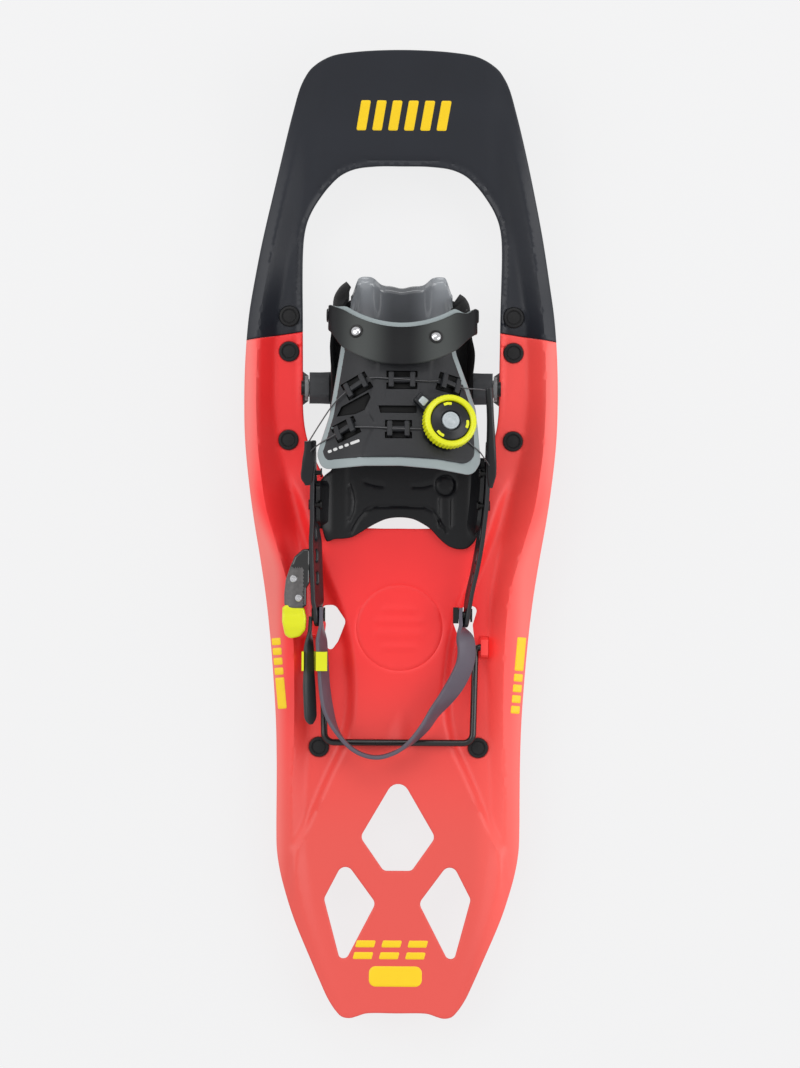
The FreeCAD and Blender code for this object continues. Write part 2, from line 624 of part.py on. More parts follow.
# heel arms: long flat bars on edge, from the platform's side walls back to the strap
LEFT_ARM = [(-54.2, 58, 52.0), (-54.4, 40, 50.6), (-54.4, 20, 48.4), (-53.8, -2, 46.2),
            (-53.0, -24, 44.2), (-52.2, -42, 43.0), (-51.9, -50.7, 42.5), (-51.8, -60, 42.5)]
RIGHT_ARM = [(54.6, 58, 52.0), (54.4, 40, 50.6), (53.4, 20, 48.4), (51.2, 0, 46.2),
             (48.0, -20, 44.4), (44.2, -38, 43.0), (42.4, -50.7, 42.5), (41.4, -60, 42.5)]
ARM_T, WALL_T = 2.8, 2.6
ARM_RIVETS = ((38, 48.6), (18, 46.2))       # Y, Z
ARM_SLOTS = ((0, 46.2), (-14, 45.0), (-28, 44.0))


def arm_x(path, y):
    return station_value([(path_y, path_x) for path_x, path_y, _ in path], y, 1)


def cut_arm_rivets(shape):
    for y, z in ARM_RIVETS:
        shape = shape.cut(cross_bore(1.6, y, z))
    return shape


def side_wall(path, m, rear_y):
    """Platform wall along the inner face of a heel arm, back to rear_y."""
    inset = ARM_T / 2 + 0.15 + WALL_T / 2
    points = []
    for k in range(6):
        y = 47 + (rear_y - 47) * k / 5.0
        points.append((arm_x(path, y) - m * inset, y, PLATFORM_Z1 + 6.5 - 0.6 * k))
    return band(points, lambda s: 19.0 - 6.0 * s, WALL_T, count=12)


def foot_platform():
    platform = prism(closed_curve(PLATFORM), PLATFORM_Z0, PLATFORM_Z1)
    for path, m, rear_y in ((LEFT_ARM, -1, 7), (RIGHT_ARM, 1, 2)):
        platform = platform.fuse(side_wall(path, m, rear_y))
    platform = cut_arm_rivets(cut_platform_rivets(platform, 40))
    platform = platform.cut(box(-80, 80, -40, 200, PLATFORM_Z0 - 30, PLATFORM_Z0))
    return platform.fuse(plate(TREAD, 5.0, PLATFORM_Z1 - 0.5, PLATFORM_Z1 + TREAD_H))


def platform_rivet(x, y):
    z0 = PIVOT_Z - 4.1
    return fused(cylinder(2.5, (x, y, z0), UP, PLATFORM_Z1 + 0.1 - z0),
                 cylinder(4.6, (x, y, PLATFORM_Z1 + 0.05), UP, 1.2),
                 cylinder(4.2, (x, y, PIVOT_Z - 5.6), UP, 1.5))


save("foot_platform", foot_platform())
save("platform_rivets", *[platform_rivet(x, y) for x, y in PLATFORM_RIVETS])

# ---------------------------------------------------------------- toe cup
CUP_REAR_Y = 128.0
CUP_PITCH = 4.35                # spacing of the grid across X
CUP_LOBE_X, CUP_LOBE_WIDTH = 25.0, 8.5


def toe_cup():
    """Upturned lip at the front of the platform, highest at its two lobes."""
    top, bottom = [], []
    for i in range(9):
        t = i / 8.0
        upper, lower = [], []
        for k in range(-8, 9):
            x = k * CUP_PITCH
            lobe = math.exp(-((abs(x) - CUP_LOBE_X) / CUP_LOBE_WIDTH) ** 2)
            front_y = (152.0 + 6.0 * lobe - 2.0 * math.exp(-(x / 6.0) ** 2)
                       - 7.5 * smooth((abs(x) - 30) / 6.0))
            y = CUP_REAR_Y + (front_y - CUP_REAR_Y) * t
            rise = 6.0 + 7.0 * lobe + 3.0 * smooth((abs(x) - 12) / 20.0)
            z = PLATFORM_Z1 + 3.3 + rise * t ** 1.6 + 2.0 * lobe * t
            upper.append(Vec(x, y, z))
            lower.append(Vec(x, y + 1.6 * t, z - 2.8))
        top.append(upper)
        bottom.append(lower)
    return closed_shell(top, bottom)


save("toe_cup", toe_cup())

# ---------------------------------------------------------------- side wings of the harness
# X, Y, Z of the right wing's middle line
WING = [(42.6, 148.5, 47.6), (43.0, 136, 49.6), (43.2, 120, 47.8), (43.2, 104, 44.4),
        (43.2, 88, 42.2), (43.4, 76, 40.2)]
# fraction of the path, height of the wall
WING_HEIGHTS = [(0, 22.0), (0.2, 25.0), (0.45, 23.4), (0.65, 18.6), (0.85, 14.6), (1.0, 11.0)]
WING_RIVET_X, WING_RIVET_YS = 39.2, (126, 90)


def wing(m):
    """Flexible wall that rises from the platform, with a foot riveted down."""
    foot_z = PLATFORM_Z1 + 0.05
    wall = band([(m * x, y, z) for x, y, z in WING],
                lambda s: station_value(WING_HEIGHTS, s, 1), 2.4, count=16)
    corners = [(m * 36.5, 134), (m * 43.4, 134), (m * 43.4, 82), (m * 36.5, 82)]
    shape = wall.fuse(plate(corners[::m], 2.0, foot_z, PLATFORM_Z1 + 2.0))
    shape = shape.cut(box(-80, 80, 60, 170, 0, foot_z))
    shape = shape.cut(cylinder(3.05, (m * 35, HARNESS_Y, HARNESS_Z), (m, 0, 0), 20))
    for y in WING_RIVET_YS:
        shape = shape.cut(cylinder(1.6, (m * WING_RIVET_X, y, PLATFORM_Z1 - 3), UP, 8))
    return shape


def wing_rivet(x, y):
    return fused(cylinder(1.5, (x, y, PLATFORM_Z1 + 0.02), UP, 2.1),
                 cylinder(2.5, (x, y, PLATFORM_Z1 + 2.05), UP, 1.0))


def harness_pivot_rivet(m):
    shank, outer_head, inner_head = [
        cylinder(radius, (m * x, HARNESS_Y, HARNESS_Z), (m, 0, 0), length)
        for radius, x, length in ((2.98, 41.0, 7.7), (4.6, 48.65, 1.3), (4.4, 40.2, 0.9))]
    return fused(shank, outer_head, inner_head)


save("wing_left", wing(-1))
save("wing_right", wing(1))
save("wing_rivets", *[wing_rivet(m * WING_RIVET_X, y) for m in SIDES for y in WING_RIVET_YS])
save("harness_pivot_rivets", *[harness_pivot_rivet(m) for m in SIDES])


# ---------------------------------------------------------------- heel arms
def heel_arm(path):
    arm = band(path, lambda s: 17.0 - 2.0 * s, ARM_T, count=24)
    # the rear end is rounded about the strap axis
    arm = arm.common(box(-80, 80, STRAP_Y, 70, 20, 80).fuse(cross_bore(8.0, STRAP_Y, STRAP_Z)))
    arm = arm.cut(cylinder(2.56, (path[-2][0] - 12, STRAP_Y, STRAP_Z), ALONG_X, 24))
    for y, z in ARM_SLOTS:
        slot = cross_bore(2.4, y - 2, z).fuse(
            [cross_bore(2.4, y + 2, z), box(-80, 80, y - 2, y + 2, z - 2.4, z + 2.4)])
        arm = arm.cut(slot)
    return cut_arm_rivets(arm)


def arm_rivet(path, m, y, z):
    x = arm_x(path, y)
    return fused(cylinder(1.5, (x - m * 4.6, y, z), (m, 0, 0), 6.4),
                 cylinder(3.2, (x + m * 1.75, y, z), (m, 0, 0), 1.2),
                 cylinder(2.8, (x - m * 5.4, y, z), (m, 0, 0), 1.0))


save("heel_arm_left", heel_arm(LEFT_ARM))
save("heel_arm_right", heel_arm(RIGHT_ARM))
save("arm_rivets", *[arm_rivet(path, m, y, z) for path, m in ((LEFT_ARM, -1), (RIGHT_ARM, 1))
                     for y, z in ARM_RIVETS])

# ---------------------------------------------------------------- lower lace guides
GUIDE_Z0, GUIDE_Z1 = 61.0, 66.0


def lace_guide(outer_x, inner_x, leg_x, rear_y, front_y, bore):
    """Bored bar along Y with a leg down its outer side; bore is (x, start y, length)."""
    bar = box(outer_x, inner_x, rear_y, front_y, GUIDE_Z0, GUIDE_Z1)
    bar = bar.cut(cylinder(1.0, (bore[0], bore[1], 63.6), (0, 1, 0), bore[2]))
    return bar.fuse(box(outer_x, leg_x, rear_y, 58, 53.0, GUIDE_Z0 + 0.1)).removeSplitter()


save("lace_guide_left", lace_guide(-60.4, -53.4, -56.2, 33, 58, (-57.6, 30, 40)))
save("lace_guide_right", lace_guide(60.0, 54.4, 56.4, 31, 92, (57.6, 20, 80)))

# ---------------------------------------------------------------- buckle on the left arm
BUCKLE_Z0, BUCKLE_Z1 = 35.6, 52.6
BUCKLE = [(-56.0, -8), (-61, -5.5), (-68.5, -12), (-70.8, -24), (-69.3, -34),
          (-69.3, LEVER_Y), (-60.7, LEVER_Y), (-59.6, -34), (-56.0, -30)]
LEVER_ROOT = [(-60.6, -36), (-69.4, -36), (-71.4, -47), (-71.6, -60), (-69.0, -65.0),
              (-63, -65.0), (-60.2, -61), (-60.2, -47)]
LEVER_TAB = [(-60.6, -44), (-70.8, -44), (-71.8, -60), (-69.4, -66.2), (-63, -66.2),
             (-60.2, -62)]


def on_lever_axis(radius, z, height):
    return cylinder(radius, (LEVER_X, LEVER_Y, z), UP, height)


def buckle_body():
    body = plate(BUCKLE, [1, 4, 6, 4, 3, 0, 0, 2, 2], BUCKLE_Z0, BUCKLE_Z1)
    body = body.fuse(on_lever_axis(5.6, BUCKLE_Z0, BUCKLE_Z1 - BUCKLE_Z0))
    body = body.cut(box(-80, -57.9, -60, -33.6, BUCKLE_Z0 + 4.0, BUCKLE_Z1 - 3.6))
    body = body.cut(on_lever_axis(1.55, BUCKLE_Z0 - 1, 30))
    body = body.cut(cylinder(14.0, (-60.2, STRAP_Y, STRAP_Z), ALONG_X, 8.0))
    return body.removeSplitter()


def buckle_lever():
    root = plate(LEVER_ROOT, [3, 3, 3, 5, 3, 4, 3, 2], BUCKLE_Z0 + 4.25, BUCKLE_Z1 - 3.85)
    tab = plate(LEVER_TAB, [0, 0, 5, 4, 4, 3], BUCKLE_Z0 + 1.0, BUCKLE_Z1 - 0.6)
    tab = tab.cut(on_lever_axis(6.1, BUCKLE_Z0, 30))
    lever = root.fuse(tab).cut(on_lever_axis(1.56, BUCKLE_Z0 - 1, 30))
    return lever.cut(box(-57.95, -50, -70, -30, 30, 60)).removeSplitter()


def buckle_pin():
    return fused(on_lever_axis(1.5, BUCKLE_Z0 - 0.4, BUCKLE_Z1 - BUCKLE_Z0 + 0.6),
                 on_lever_axis(2.3, BUCKLE_Z1 + 0.05, 0.8),
                 on_lever_axis(2.3, BUCKLE_Z0 - 1.0, 0.95))


save("buckle_body", buckle_body())
save("buckle_lever", buckle_lever())
save("buckle_pin", buckle_pin())
save("buckle_screws", *[cylinder(2.4, (x, y, BUCKLE_Z1 + 0.05), UP, 1.2)
                        for x, y in ((-64.4, -17.5), (-63.8, -29.5))])

# ---------------------------------------------------------------- heel strap
# X, Y, Z from the right post round the heel to the left post
STRAP = [
    (38.4, -46.0, 42.5), (38.3, -52, 42.4), (38.5, -59.6, 42.2), (40.4, -70, 41.6),
    (39.6, -81, 41.2), (34.4, -92, 41.2), (28.6, -102.0, 42.0), (22.8, -111.0, 42.6),
    (16.0, -121.4, 43.0), (7.7, -130.2, 43.3), (-1.5, -136.6, 43.4), (-13.0, -140.0, 43.4),
    (-23.4, -138.0, 43.4), (-32.2, -132.2, 43.2), (-39.6, -122.4, 43.1), (-44.4, -110.0, 43.0),
    (-46.6, -97, 42.8), (-47.6, -84, 42.6), (-48.8, -66, 42.4), (-49.0, -56, 42.4),
    (-49.0, -46.0, 42.5)]
# loose end of the strap behind the buckle
STRAP_TAIL = [(-56.3, -60.4, 42.5), (-57.0, -74, 43.0), (-56.4, -92, 43.6),
              (-55.4, -108, 42.6), (-54.6, -119, 41.0)]


def heel_strap():
    def lean(s):
        return 46.0 * smooth((s - 0.06) / 0.10) * (1 - smooth((s - 0.27) / 0.18))

    strap = band(STRAP, 14.0, 2.4, lean=lean, count=64)
    return strap.cut(cylinder(2.55, (-60, STRAP_Y, STRAP_Z), ALONG_X, 120))


def strap_tail():
    def width(s):
        return 9.0 + 3.2 * smooth((s - 0.55) / 0.3) - 3.4 * smooth((s - 0.9) / 0.1)

    return band(STRAP_TAIL, width, 2.6, lean=lambda s: 34 * smooth((s - 0.3) / 0.5), count=20)


def strap_keeper(strap, tail):
    """Loop round the strap and its loose end."""
    keeper = box(-60.9, -45.0, -86, -74, 34.0, 51.2).cut(
        box(-49.6, -46.0, -87, -73, 34.9, 50.3))
    keeper = keeper.cut(box(-59.6, -52.0, -87, -73, 36.4, 60))
    return largest(keeper.cut(strap).cut(tail))


def on_strap_axis(radius, x, m, length):
    return cylinder(radius, (x, STRAP_Y, STRAP_Z), (m, 0, 0), length)


def right_strap_post():
    block = box(33.6, 36.95, STRAP_Y - 5, STRAP_Y + 5, STRAP_Z - 6, STRAP_Z + 6)
    pin = on_strap_axis(2.5, 36.9, 1, 44.4 - 36.9).fuse(on_strap_axis(4.2, 44.35, 1, 1.3))
    return pin.fuse(block).removeSplitter()


def left_strap_post():
    return fused(on_strap_axis(2.5, -47.4, -1, 53.9 - 47.4), on_strap_axis(4.2, -53.8, -1, 1.2),
                 on_strap_axis(4.4, -46.5, -1, 1.1))


strap_shape, strap_tail_shape = heel_strap(), strap_tail()
save("heel_strap", strap_shape)
save("strap_tail", strap_tail_shape)
save("strap_keeper", strap_keeper(strap_shape, strap_tail_shape))
save("strap_posts", right_strap_post(), left_strap_post())

# ---------------------------------------------------------------- instep harness
INSTEP_Y = 117                  # station where the instep formulas start, growing towards -Y


def instep(x, y, lift=0.0):
    """A point on the outer face of the instep panel, raised by lift along Z."""
    back = INSTEP_Y - y
    half_width = 38.0 + back * 0.158
    crown_z = 83.5 + 20.5 * smooth(back / 88.0)
    drop = 14.5 + 0.10 * back
    return Vec(x, y, crown_z - drop * (abs(x) / half_width) ** 3.2 + lift)


def instep_normal(x, y):
    slope_x = instep(x + 0.5, y).z - instep(x - 0.5, y).z
    slope_y = instep(x, y + 0.5).z - instep(x, y - 0.5).z
    return Vec(-slope_x, -slope_y, 1).normalize()


def instep_panel(grow, rear, front, lift, thickness):
    """Curved panel over the instep; grow widens each side."""
    top, bottom = [], []
    for i in range(13):
        t = i / 12.0
        upper, lower = [], []
        for k in range(-10, 11):
            s = k / 10.0
            front_y = front + 10.0 * s * s
            rear_y = rear + 3.4 - 4.0 * s * s
            y = front_y + (rear_y - front_y) * t
            x = s * (37.0 + (INSTEP_Y - y) * 0.162 + grow)
            point = instep(x, y, lift)
            upper.append(point)
            lower.append(point - instep_normal(x, y) * thickness)
        top.append(upper)
        bottom.append(lower)
    return closed_shell(top, bottom)


def dial_placement():
    rotation = FreeCAD.Rotation(Vec(1, 0, 0), DIAL_TILT_X).multiply(
        FreeCAD.Rotation(Vec(0, 1, 0), DIAL_TILT_Y))
    seat = instep(*DIAL_XY)
    return FreeCAD.Placement(Vec(seat.x, seat.y, seat.z + 0.6), rotation)


def placed(shape, placement):
    shape.Placement = placement
    return shape


DIAL = dial_placement()
overlay = instep_panel(grow=0.0, rear=42.6, front=118.0, lift=0.0, thickness=2.3)
underlay = instep_panel(grow=2.4, rear=38.8, front=116.0, lift=-2.6, thickness=2.6)
underlay = underlay.cut(overlay)
dial_seat = placed(disc(13.9, -0.05, 30), DIAL)
overlay = largest(overlay.cut(dial_seat))
underlay = underlay.cut(dial_seat)
save("instep_overlay", overlay)
save("instep_underlay", largest(underlay))

# ---------------------------------------------------------------- toe strap
TOE_X = 46.7                    # half width of the arch, to the middle of the strap
TOE_Y = 117.6                   # station of the strap's crown
TOE_SWEEP = 17.0                # how far its feet lie in front of the crown
TOE_HALF_WIDTH = 12.2
TOE_HALF_T = 1.2
TOE_LOW_Z, TOE_ARCH_Z, TOE_RISE = 50.0, 58.0, 29.4   # foot, spring of the arch, its rise
TOE_COUNT = 29
ROW = (-1, -0.5, 0, 0.5, 1)     # places across the strap's width


def toe_strap_rows(i):
    """Outer and inner row of points at step i round the arch."""
    angle = math.pi * i / (TOE_COUNT - 1)
    cosine, sine = math.cos(angle), math.sin(angle)
    x = -TOE_X * math.copysign(abs(cosine) ** 0.86, cosine)
    z = TOE_ARCH_Z
    if 0 < i < TOE_COUNT - 1:
        z += TOE_RISE * sine ** 0.92
    y = TOE_Y + TOE_SWEEP * (abs(x) / TOE_X) ** 2.0
    tilt = math.radians(20.0 * sine)
    out_x = -cosine * 0.72
    length = math.hypot(out_x, sine)
    normal = Vec(out_x / length * math.cos(tilt), math.sin(tilt),
                 sine / length * math.cos(tilt)).normalize()
    width_dir = Vec(0, -math.cos(tilt), math.sin(tilt))
    width_dir = (width_dir - normal * width_dir.dot(normal)).normalize()
    half_width = TOE_HALF_WIDTH - 1.2 * sine
    return [[Vec(x, y, z) + normal * (sign * TOE_HALF_T) + width_dir * (half_width * q)
             for q in ROW] for sign in (1, -1)]


def toe_strap_foot(m, sign):
    """Row of points at the lower end on side m, on the outer or inner face."""
    return [Vec(m * (TOE_X + TOE_HALF_T * sign), TOE_Y + TOE_SWEEP - TOE_HALF_WIDTH * q,
                TOE_LOW_Z) for q in ROW]


def toe_strap():
    outer, inner = (list(rows) for rows in zip(*[toe_strap_rows(i) for i in range(TOE_COUNT)]))
    for grid, sign in ((outer, 1), (inner, -1)):
        grid.insert(0, toe_strap_foot(-1, sign))
        grid.append(toe_strap_foot(1, sign))
    strap = largest(closed_shell(outer, inner).cut(overlay).cut(underlay))
    for m in SIDES:
        for radius, x in ((3.06, 44), (4.9, 48.55)):     # rivet shank and head
            strap = strap.cut(cylinder(radius, (m * x, HARNESS_Y, HARNESS_Z), (m, 0, 0), 12))
    return largest(strap)


def top_of(shape, x, y):
    """Height of the shape's upper face at a place."""
    line = Part.makeLine(Vec(x, y, 60), Vec(x, y, 130))
    return max(vertex.Z for vertex in line.common(shape).Vertexes)


def toe_strap_stud(strap, x, y):
    """Stud seated square on the strap's outer face."""
    z, step = top_of(strap, x, y), 0.5
    normal = Vec(-(top_of(strap, x + step, y) - z) / step,
                 -(top_of(strap, x, y + step) - z) / step, 1).normalize()
    stud = disc(4.1, 0.35, 0.7).fuse(dome(3.5, 1.6, 1.0))
    rotation = FreeCAD.Rotation(Vec(*UP), normal)
    return placed(stud, FreeCAD.Placement(Vec(x, y, z), rotation)).cut(strap)


toe_strap_shape = toe_strap()
save("toe_strap", toe_strap_shape)
save("toe_strap_studs", *[toe_strap_stud(toe_strap_shape, x, y)
                          for x, y in ((-28.0, 125.2), (21.4, 122.0))])

# ---------------------------------------------------------------- lace bridges
# X, Y, turn about the panel's normal in degrees, length
BRIDGES = ((-27.0, 95.0, 24, 15), (-33.5, 66.0, 22, 15), (0.5, 95.5, 0, 17),
           (-1.0, 67.5, 0, 17), (27.6, 96.0, -16, 14))
BRIDGE_Z0, BRIDGE_Z1 = 0.2, 2.6


def lace_bridge(x, y, turn, length):
    """Moulded H on the panel."""
    end = length / 2
    bridge = fused(box(-end, end, -1.4, 1.4, BRIDGE_Z0, BRIDGE_Z1),
                   box(-end, -end + 3.2, -4.2, 4.2, BRIDGE_Z0, BRIDGE_Z1),
                   box(end - 3.2, end, -4.2, 4.2, BRIDGE_Z0, BRIDGE_Z1))
    top_edges = [edge for edge in bridge.Edges
                 if abs(edge.Vertexes[0].Z - BRIDGE_Z1) < 1e-6
                 and abs(edge.Vertexes[-1].Z - BRIDGE_Z1) < 1e-6]
    bridge = bridge.makeFillet(0.5, top_edges)
    rotation = FreeCAD.Rotation(Vec(*UP), instep_normal(x, y)).multiply(
        FreeCAD.Rotation(Vec(*UP), turn))
    return largest(placed(bridge, FreeCAD.Placement(instep(x, y), rotation)).cut(overlay))


bridges = [lace_bridge(*row) for row in BRIDGES]
save("lace_bridges", *bridges)

# ---------------------------------------------------------------- closure dial
# each piece is built about the local Z axis, then placed on the panel
POST_R, POST_HOLE_R = 1.6, 1.65
GRIP_R, GRIP_Z0, GRIP_H = 15.4, 3.8, 8.4
GRIP_NOTCHES = 24


def dial_housing():
    spout = box(-21.0, -11, -2.7, 2.7, 0.6, 3.3)
    spout.rotate(Vec(0, 0, 0), Vec(*UP), -72)
    housing = fused(disc(13.4, 0, 3.6), spout).cut(disc(8.2, 0.6, 3.2))
    housing = housing.fuse(disc(POST_R, 0.5, 9.4))
    return placed(housing, DIAL).cut(overlay).cut(underlay)


def lace_spool():
    spool = fused(disc(7.9, 0.75, 0.7), disc(5.4, 1.4, 1.4), disc(7.9, 2.7, 0.7))
    return placed(spool.cut(disc(POST_HOLE_R, 0, 6)), DIAL)


def dial_grip():
    """Ring with a rounded top rim and notches round its outside."""
    top = GRIP_Z0 + GRIP_H
    ring = disc(GRIP_R, GRIP_Z0, GRIP_H).cut(disc(12.6, 3, 10))
    rims = [edge for edge in ring.Edges if abs(edge.BoundBox.ZMax - top) < 0.01
            and abs(edge.BoundBox.ZMin - top) < 0.01]
    ring = ring.makeFillet(1.0, rims)
    reach = GRIP_R + 0.5
    for i in range(GRIP_NOTCHES):
        angle = 2 * math.pi * i / GRIP_NOTCHES
        base = (reach * math.cos(angle), reach * math.sin(angle), 3.5)
        ring = ring.cut(cylinder(0.9, base, UP, 7.0))
    return placed(ring, DIAL)


def dial_cap():
    """Disc with three curved grooves in its top."""
    cap = disc(12.52, 4.4, 6.4).cut(disc(5.55, 3, 9))
    for start_angle in (70, 190, 310):
        groove = Part.makeCylinder(11.2, 4, Vec(0, 0, 9.4), Vec(*UP), 44).cut(disc(9.0, 9, 5))
        groove.rotate(Vec(0, 0, 0), Vec(*UP), start_angle)
        cap = cap.cut(groove)
    return placed(cap, DIAL)


def dial_button():
    button = disc(5.5, 7.2, 3.9).fuse(Part.makeCone(5.5, 4.4, 0.9, Vec(0, 0, 11.1)))
    return placed(button.cut(disc(POST_HOLE_R, 7.0, 3.6)), DIAL).removeSplitter()


housing_shape = dial_housing()
save("dial_housing", largest(housing_shape))
save("lace_spool", lace_spool())
save("dial_grip", dial_grip())
save("dial_cap", dial_cap())
save("dial_button", dial_button())

# ---------------------------------------------------------------- lace
LACE_R = 0.45
# thin steel cable in short runs; instep() points lie just above the panel
LACE_RUNS = [
    [instep(-17.0, 98.6, 0.9), instep(-12.6, 98.4, 1.0), instep(-8.6, 98.6, 1.1)],
    [instep(9.8, 96.4, 0.9), instep(13.6, 96.0, 1.0), instep(17.6, 95.6, 1.0)],
    [instep(36.2, 93.4, 0.8), Vec(43.6, 90.0, 72.6), Vec(49.0, 84.0, 68.0),
     Vec(53.6, 78.0, 64.6)],
    [instep(-41.6, 88.0, 0.9), Vec(-47.0, 78.0, 73.6), Vec(-50.6, 66.0, 68.6),
     Vec(-52.8, 56.0, 64.6)],
    [instep(-24.6, 68.8, 0.9), instep(-18.0, 68.4, 1.0), instep(-11.0, 68.0, 1.0)],
    [instep(43.6, 54.0, 0.9), Vec(50.4, 49.0, 80.0), Vec(52.8, 44.0, 72.0),
     Vec(53.7, 40.0, 64.8)],
]


def lace_run(points):
    """One run of cable, trimmed where it meets the panel, the dial or a bridge."""
    curve = Part.BSplineCurve()
    curve.interpolate(points)
    run = sweep_round(Part.Wire([curve.toShape()]), LACE_R, points[0],
                      curve.tangent(curve.FirstParameter)[0])
    for neighbour in [overlay, underlay, housing_shape] + bridges:
        if run.distToShape(neighbour)[0] < 1e-6:
            run = run.cut(neighbour)
    return largest(run)


save("lace", *[lace_run(points) for points in LACE_RUNS])
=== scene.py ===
# A snowshoe: a moulded two-part deck with a foot platform, heel arms, buckle and
# strap, and a laced harness closed by a dial. It lies flat, nose towards +Y and
# tail towards -Y, left side at -X, top towards +Z. Shapes are worked out in
# millimetres and scaled to metres when a mesh is made.
import math

import bmesh
import bpy
import numpy as np
from mathutils import Matrix, Vector, geometry
from mathutils.bvhtree import BVHTree
from mathutils.kdtree import KDTree


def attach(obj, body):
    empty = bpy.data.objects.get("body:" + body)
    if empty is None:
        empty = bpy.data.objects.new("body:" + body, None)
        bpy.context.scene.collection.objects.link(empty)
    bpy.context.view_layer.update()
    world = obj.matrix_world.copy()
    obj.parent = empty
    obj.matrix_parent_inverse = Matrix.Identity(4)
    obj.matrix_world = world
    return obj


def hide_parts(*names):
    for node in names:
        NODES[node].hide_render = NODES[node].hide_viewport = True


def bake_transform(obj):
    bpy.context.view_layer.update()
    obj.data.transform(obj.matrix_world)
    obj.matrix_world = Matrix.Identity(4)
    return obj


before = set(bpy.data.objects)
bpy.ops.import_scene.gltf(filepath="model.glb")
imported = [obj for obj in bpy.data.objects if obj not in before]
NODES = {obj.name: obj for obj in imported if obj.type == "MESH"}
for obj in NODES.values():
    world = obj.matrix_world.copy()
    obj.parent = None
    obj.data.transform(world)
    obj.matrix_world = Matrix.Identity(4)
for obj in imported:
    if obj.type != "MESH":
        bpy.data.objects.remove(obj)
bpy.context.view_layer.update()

MM = 0.001
scene = bpy.context.scene


# ======================================================== scalar curves
def smooth(t):
    """Smoothstep: 0 below t = 0, 1 above t = 1."""
    t = np.clip(t, 0.0, 1.0)
    return t * t * (3 - 2 * t)


def bell(t):
    return np.exp(-t ** 2)


def soft_min(a, b, blend):
    return 0.5 * (a + b - np.sqrt((a - b) ** 2 + blend * blend))


def soft_max(a, b, blend):
    return 0.5 * (a + b + np.sqrt((a - b) ** 2 + blend * blend))


def hermite(t):
    """Cubic weights of the first point, its slope, the second point and its slope."""
    return (2 * t**3 - 3 * t**2 + 1, t**3 - 2 * t**2 + t, -2 * t**3 + 3 * t**2, t**3 - t**2)


def station_value(stations, y, column):
    """Monotone cubic through a table keyed by its first column, flat beyond its ends."""
    rows = sorted(stations)
    if y <= rows[0][0]:
        return rows[0][column]
    if y >= rows[-1][0]:
        return rows[-1][column]
    i = next(i for i in range(len(rows) - 1) if rows[i][0] <= y <= rows[i + 1][0])

    def slope(k):
        return (rows[k + 1][column] - rows[k][column]) / (rows[k + 1][0] - rows[k][0])

    def shared(near, other):
        return 0 if other * near <= 0 else 2 * other * near / (other + near)

    here = slope(i)
    start = shared(here, slope(i - 1)) if i > 0 else here
    end = shared(here, slope(i + 1)) if i < len(rows) - 2 else here
    span = rows[i + 1][0] - rows[i][0]
    w1, w2, w3, w4 = hermite((y - rows[i][0]) / span)
    return (w1 * rows[i][column] + w2 * span * start
            + w3 * rows[i + 1][column] + w4 * span * end)


def sampled(stations, column):
    """One column of a station table as a fast function of y."""
    ys = np.arange(-330.0, 330.5, 0.5)
    values = np.array([station_value(stations, y, column) for y in ys])
    return lambda y: np.interp(y, ys, values)


def flat(height):
    """A level surface."""
    return lambda x, y: np.full(np.shape(x), height)


# ======================================================== outlines and paths
def smooth_curve(points, closed, step):
    """Dense centripetal spline through 2-D or 3-D points."""
    pts = [np.array(p, float) for p in points]
    n = len(pts)
    out = []
    for i in range(n if closed else n - 1):
        p0 = pts[(i - 1) % n] if closed or i > 0 else pts[0]
        p1, p2 = pts[i], pts[(i + 1) % n]
        p3 = pts[(i + 2) % n] if closed or i + 2 < n else pts[-1]
        d1, d2, d3 = (max(1e-6, np.linalg.norm(b - a) ** 0.5)
                      for a, b in ((p0, p1), (p1, p2), (p2, p3)))
        start = end = p2 - p1
        if np.linalg.norm(p1 - p0) >= 1e-6:
            start = ((p1 - p0) / d1 - (p2 - p0) / (d1 + d2) + (p2 - p1) / d2) * d2
        if np.linalg.norm(p3 - p2) >= 1e-6:
            end = ((p2 - p1) / d2 - (p3 - p1) / (d2 + d3) + (p3 - p2) / d3) * d2
        count = max(1, int(round(np.linalg.norm(p2 - p1) / step)))
        for j in range(count):
            w1, w2, w3, w4 = hermite(j / count)
            out.append(w1 * p1 + w2 * start + w3 * p2 + w4 * end)
    if not closed:
        out.append(pts[-1])
    return out


def resample(points, count):
    """Evenly spaced points along an open polyline."""
    pts = np.array(points, float)
    along = np.r_[0, np.cumsum(np.linalg.norm(np.diff(pts, axis=0), axis=1))]
    return np.array([[np.interp(d, along, pts[:, c]) for c in range(pts.shape[1])]
                     for d in np.linspace(0, along[-1], count)])


def split(points, step):
    """Divides the edges of a closed polygon into pieces no shorter than step."""
    out = []
    for i in range(len(points)):
        a = np.array(points[i], float)
        b = np.array(points[(i + 1) % len(points)], float)
        count = max(1, int(np.linalg.norm(b - a) / step))
        for j in range(count):
            out.append(a + (b - a) * j / count)
    return out


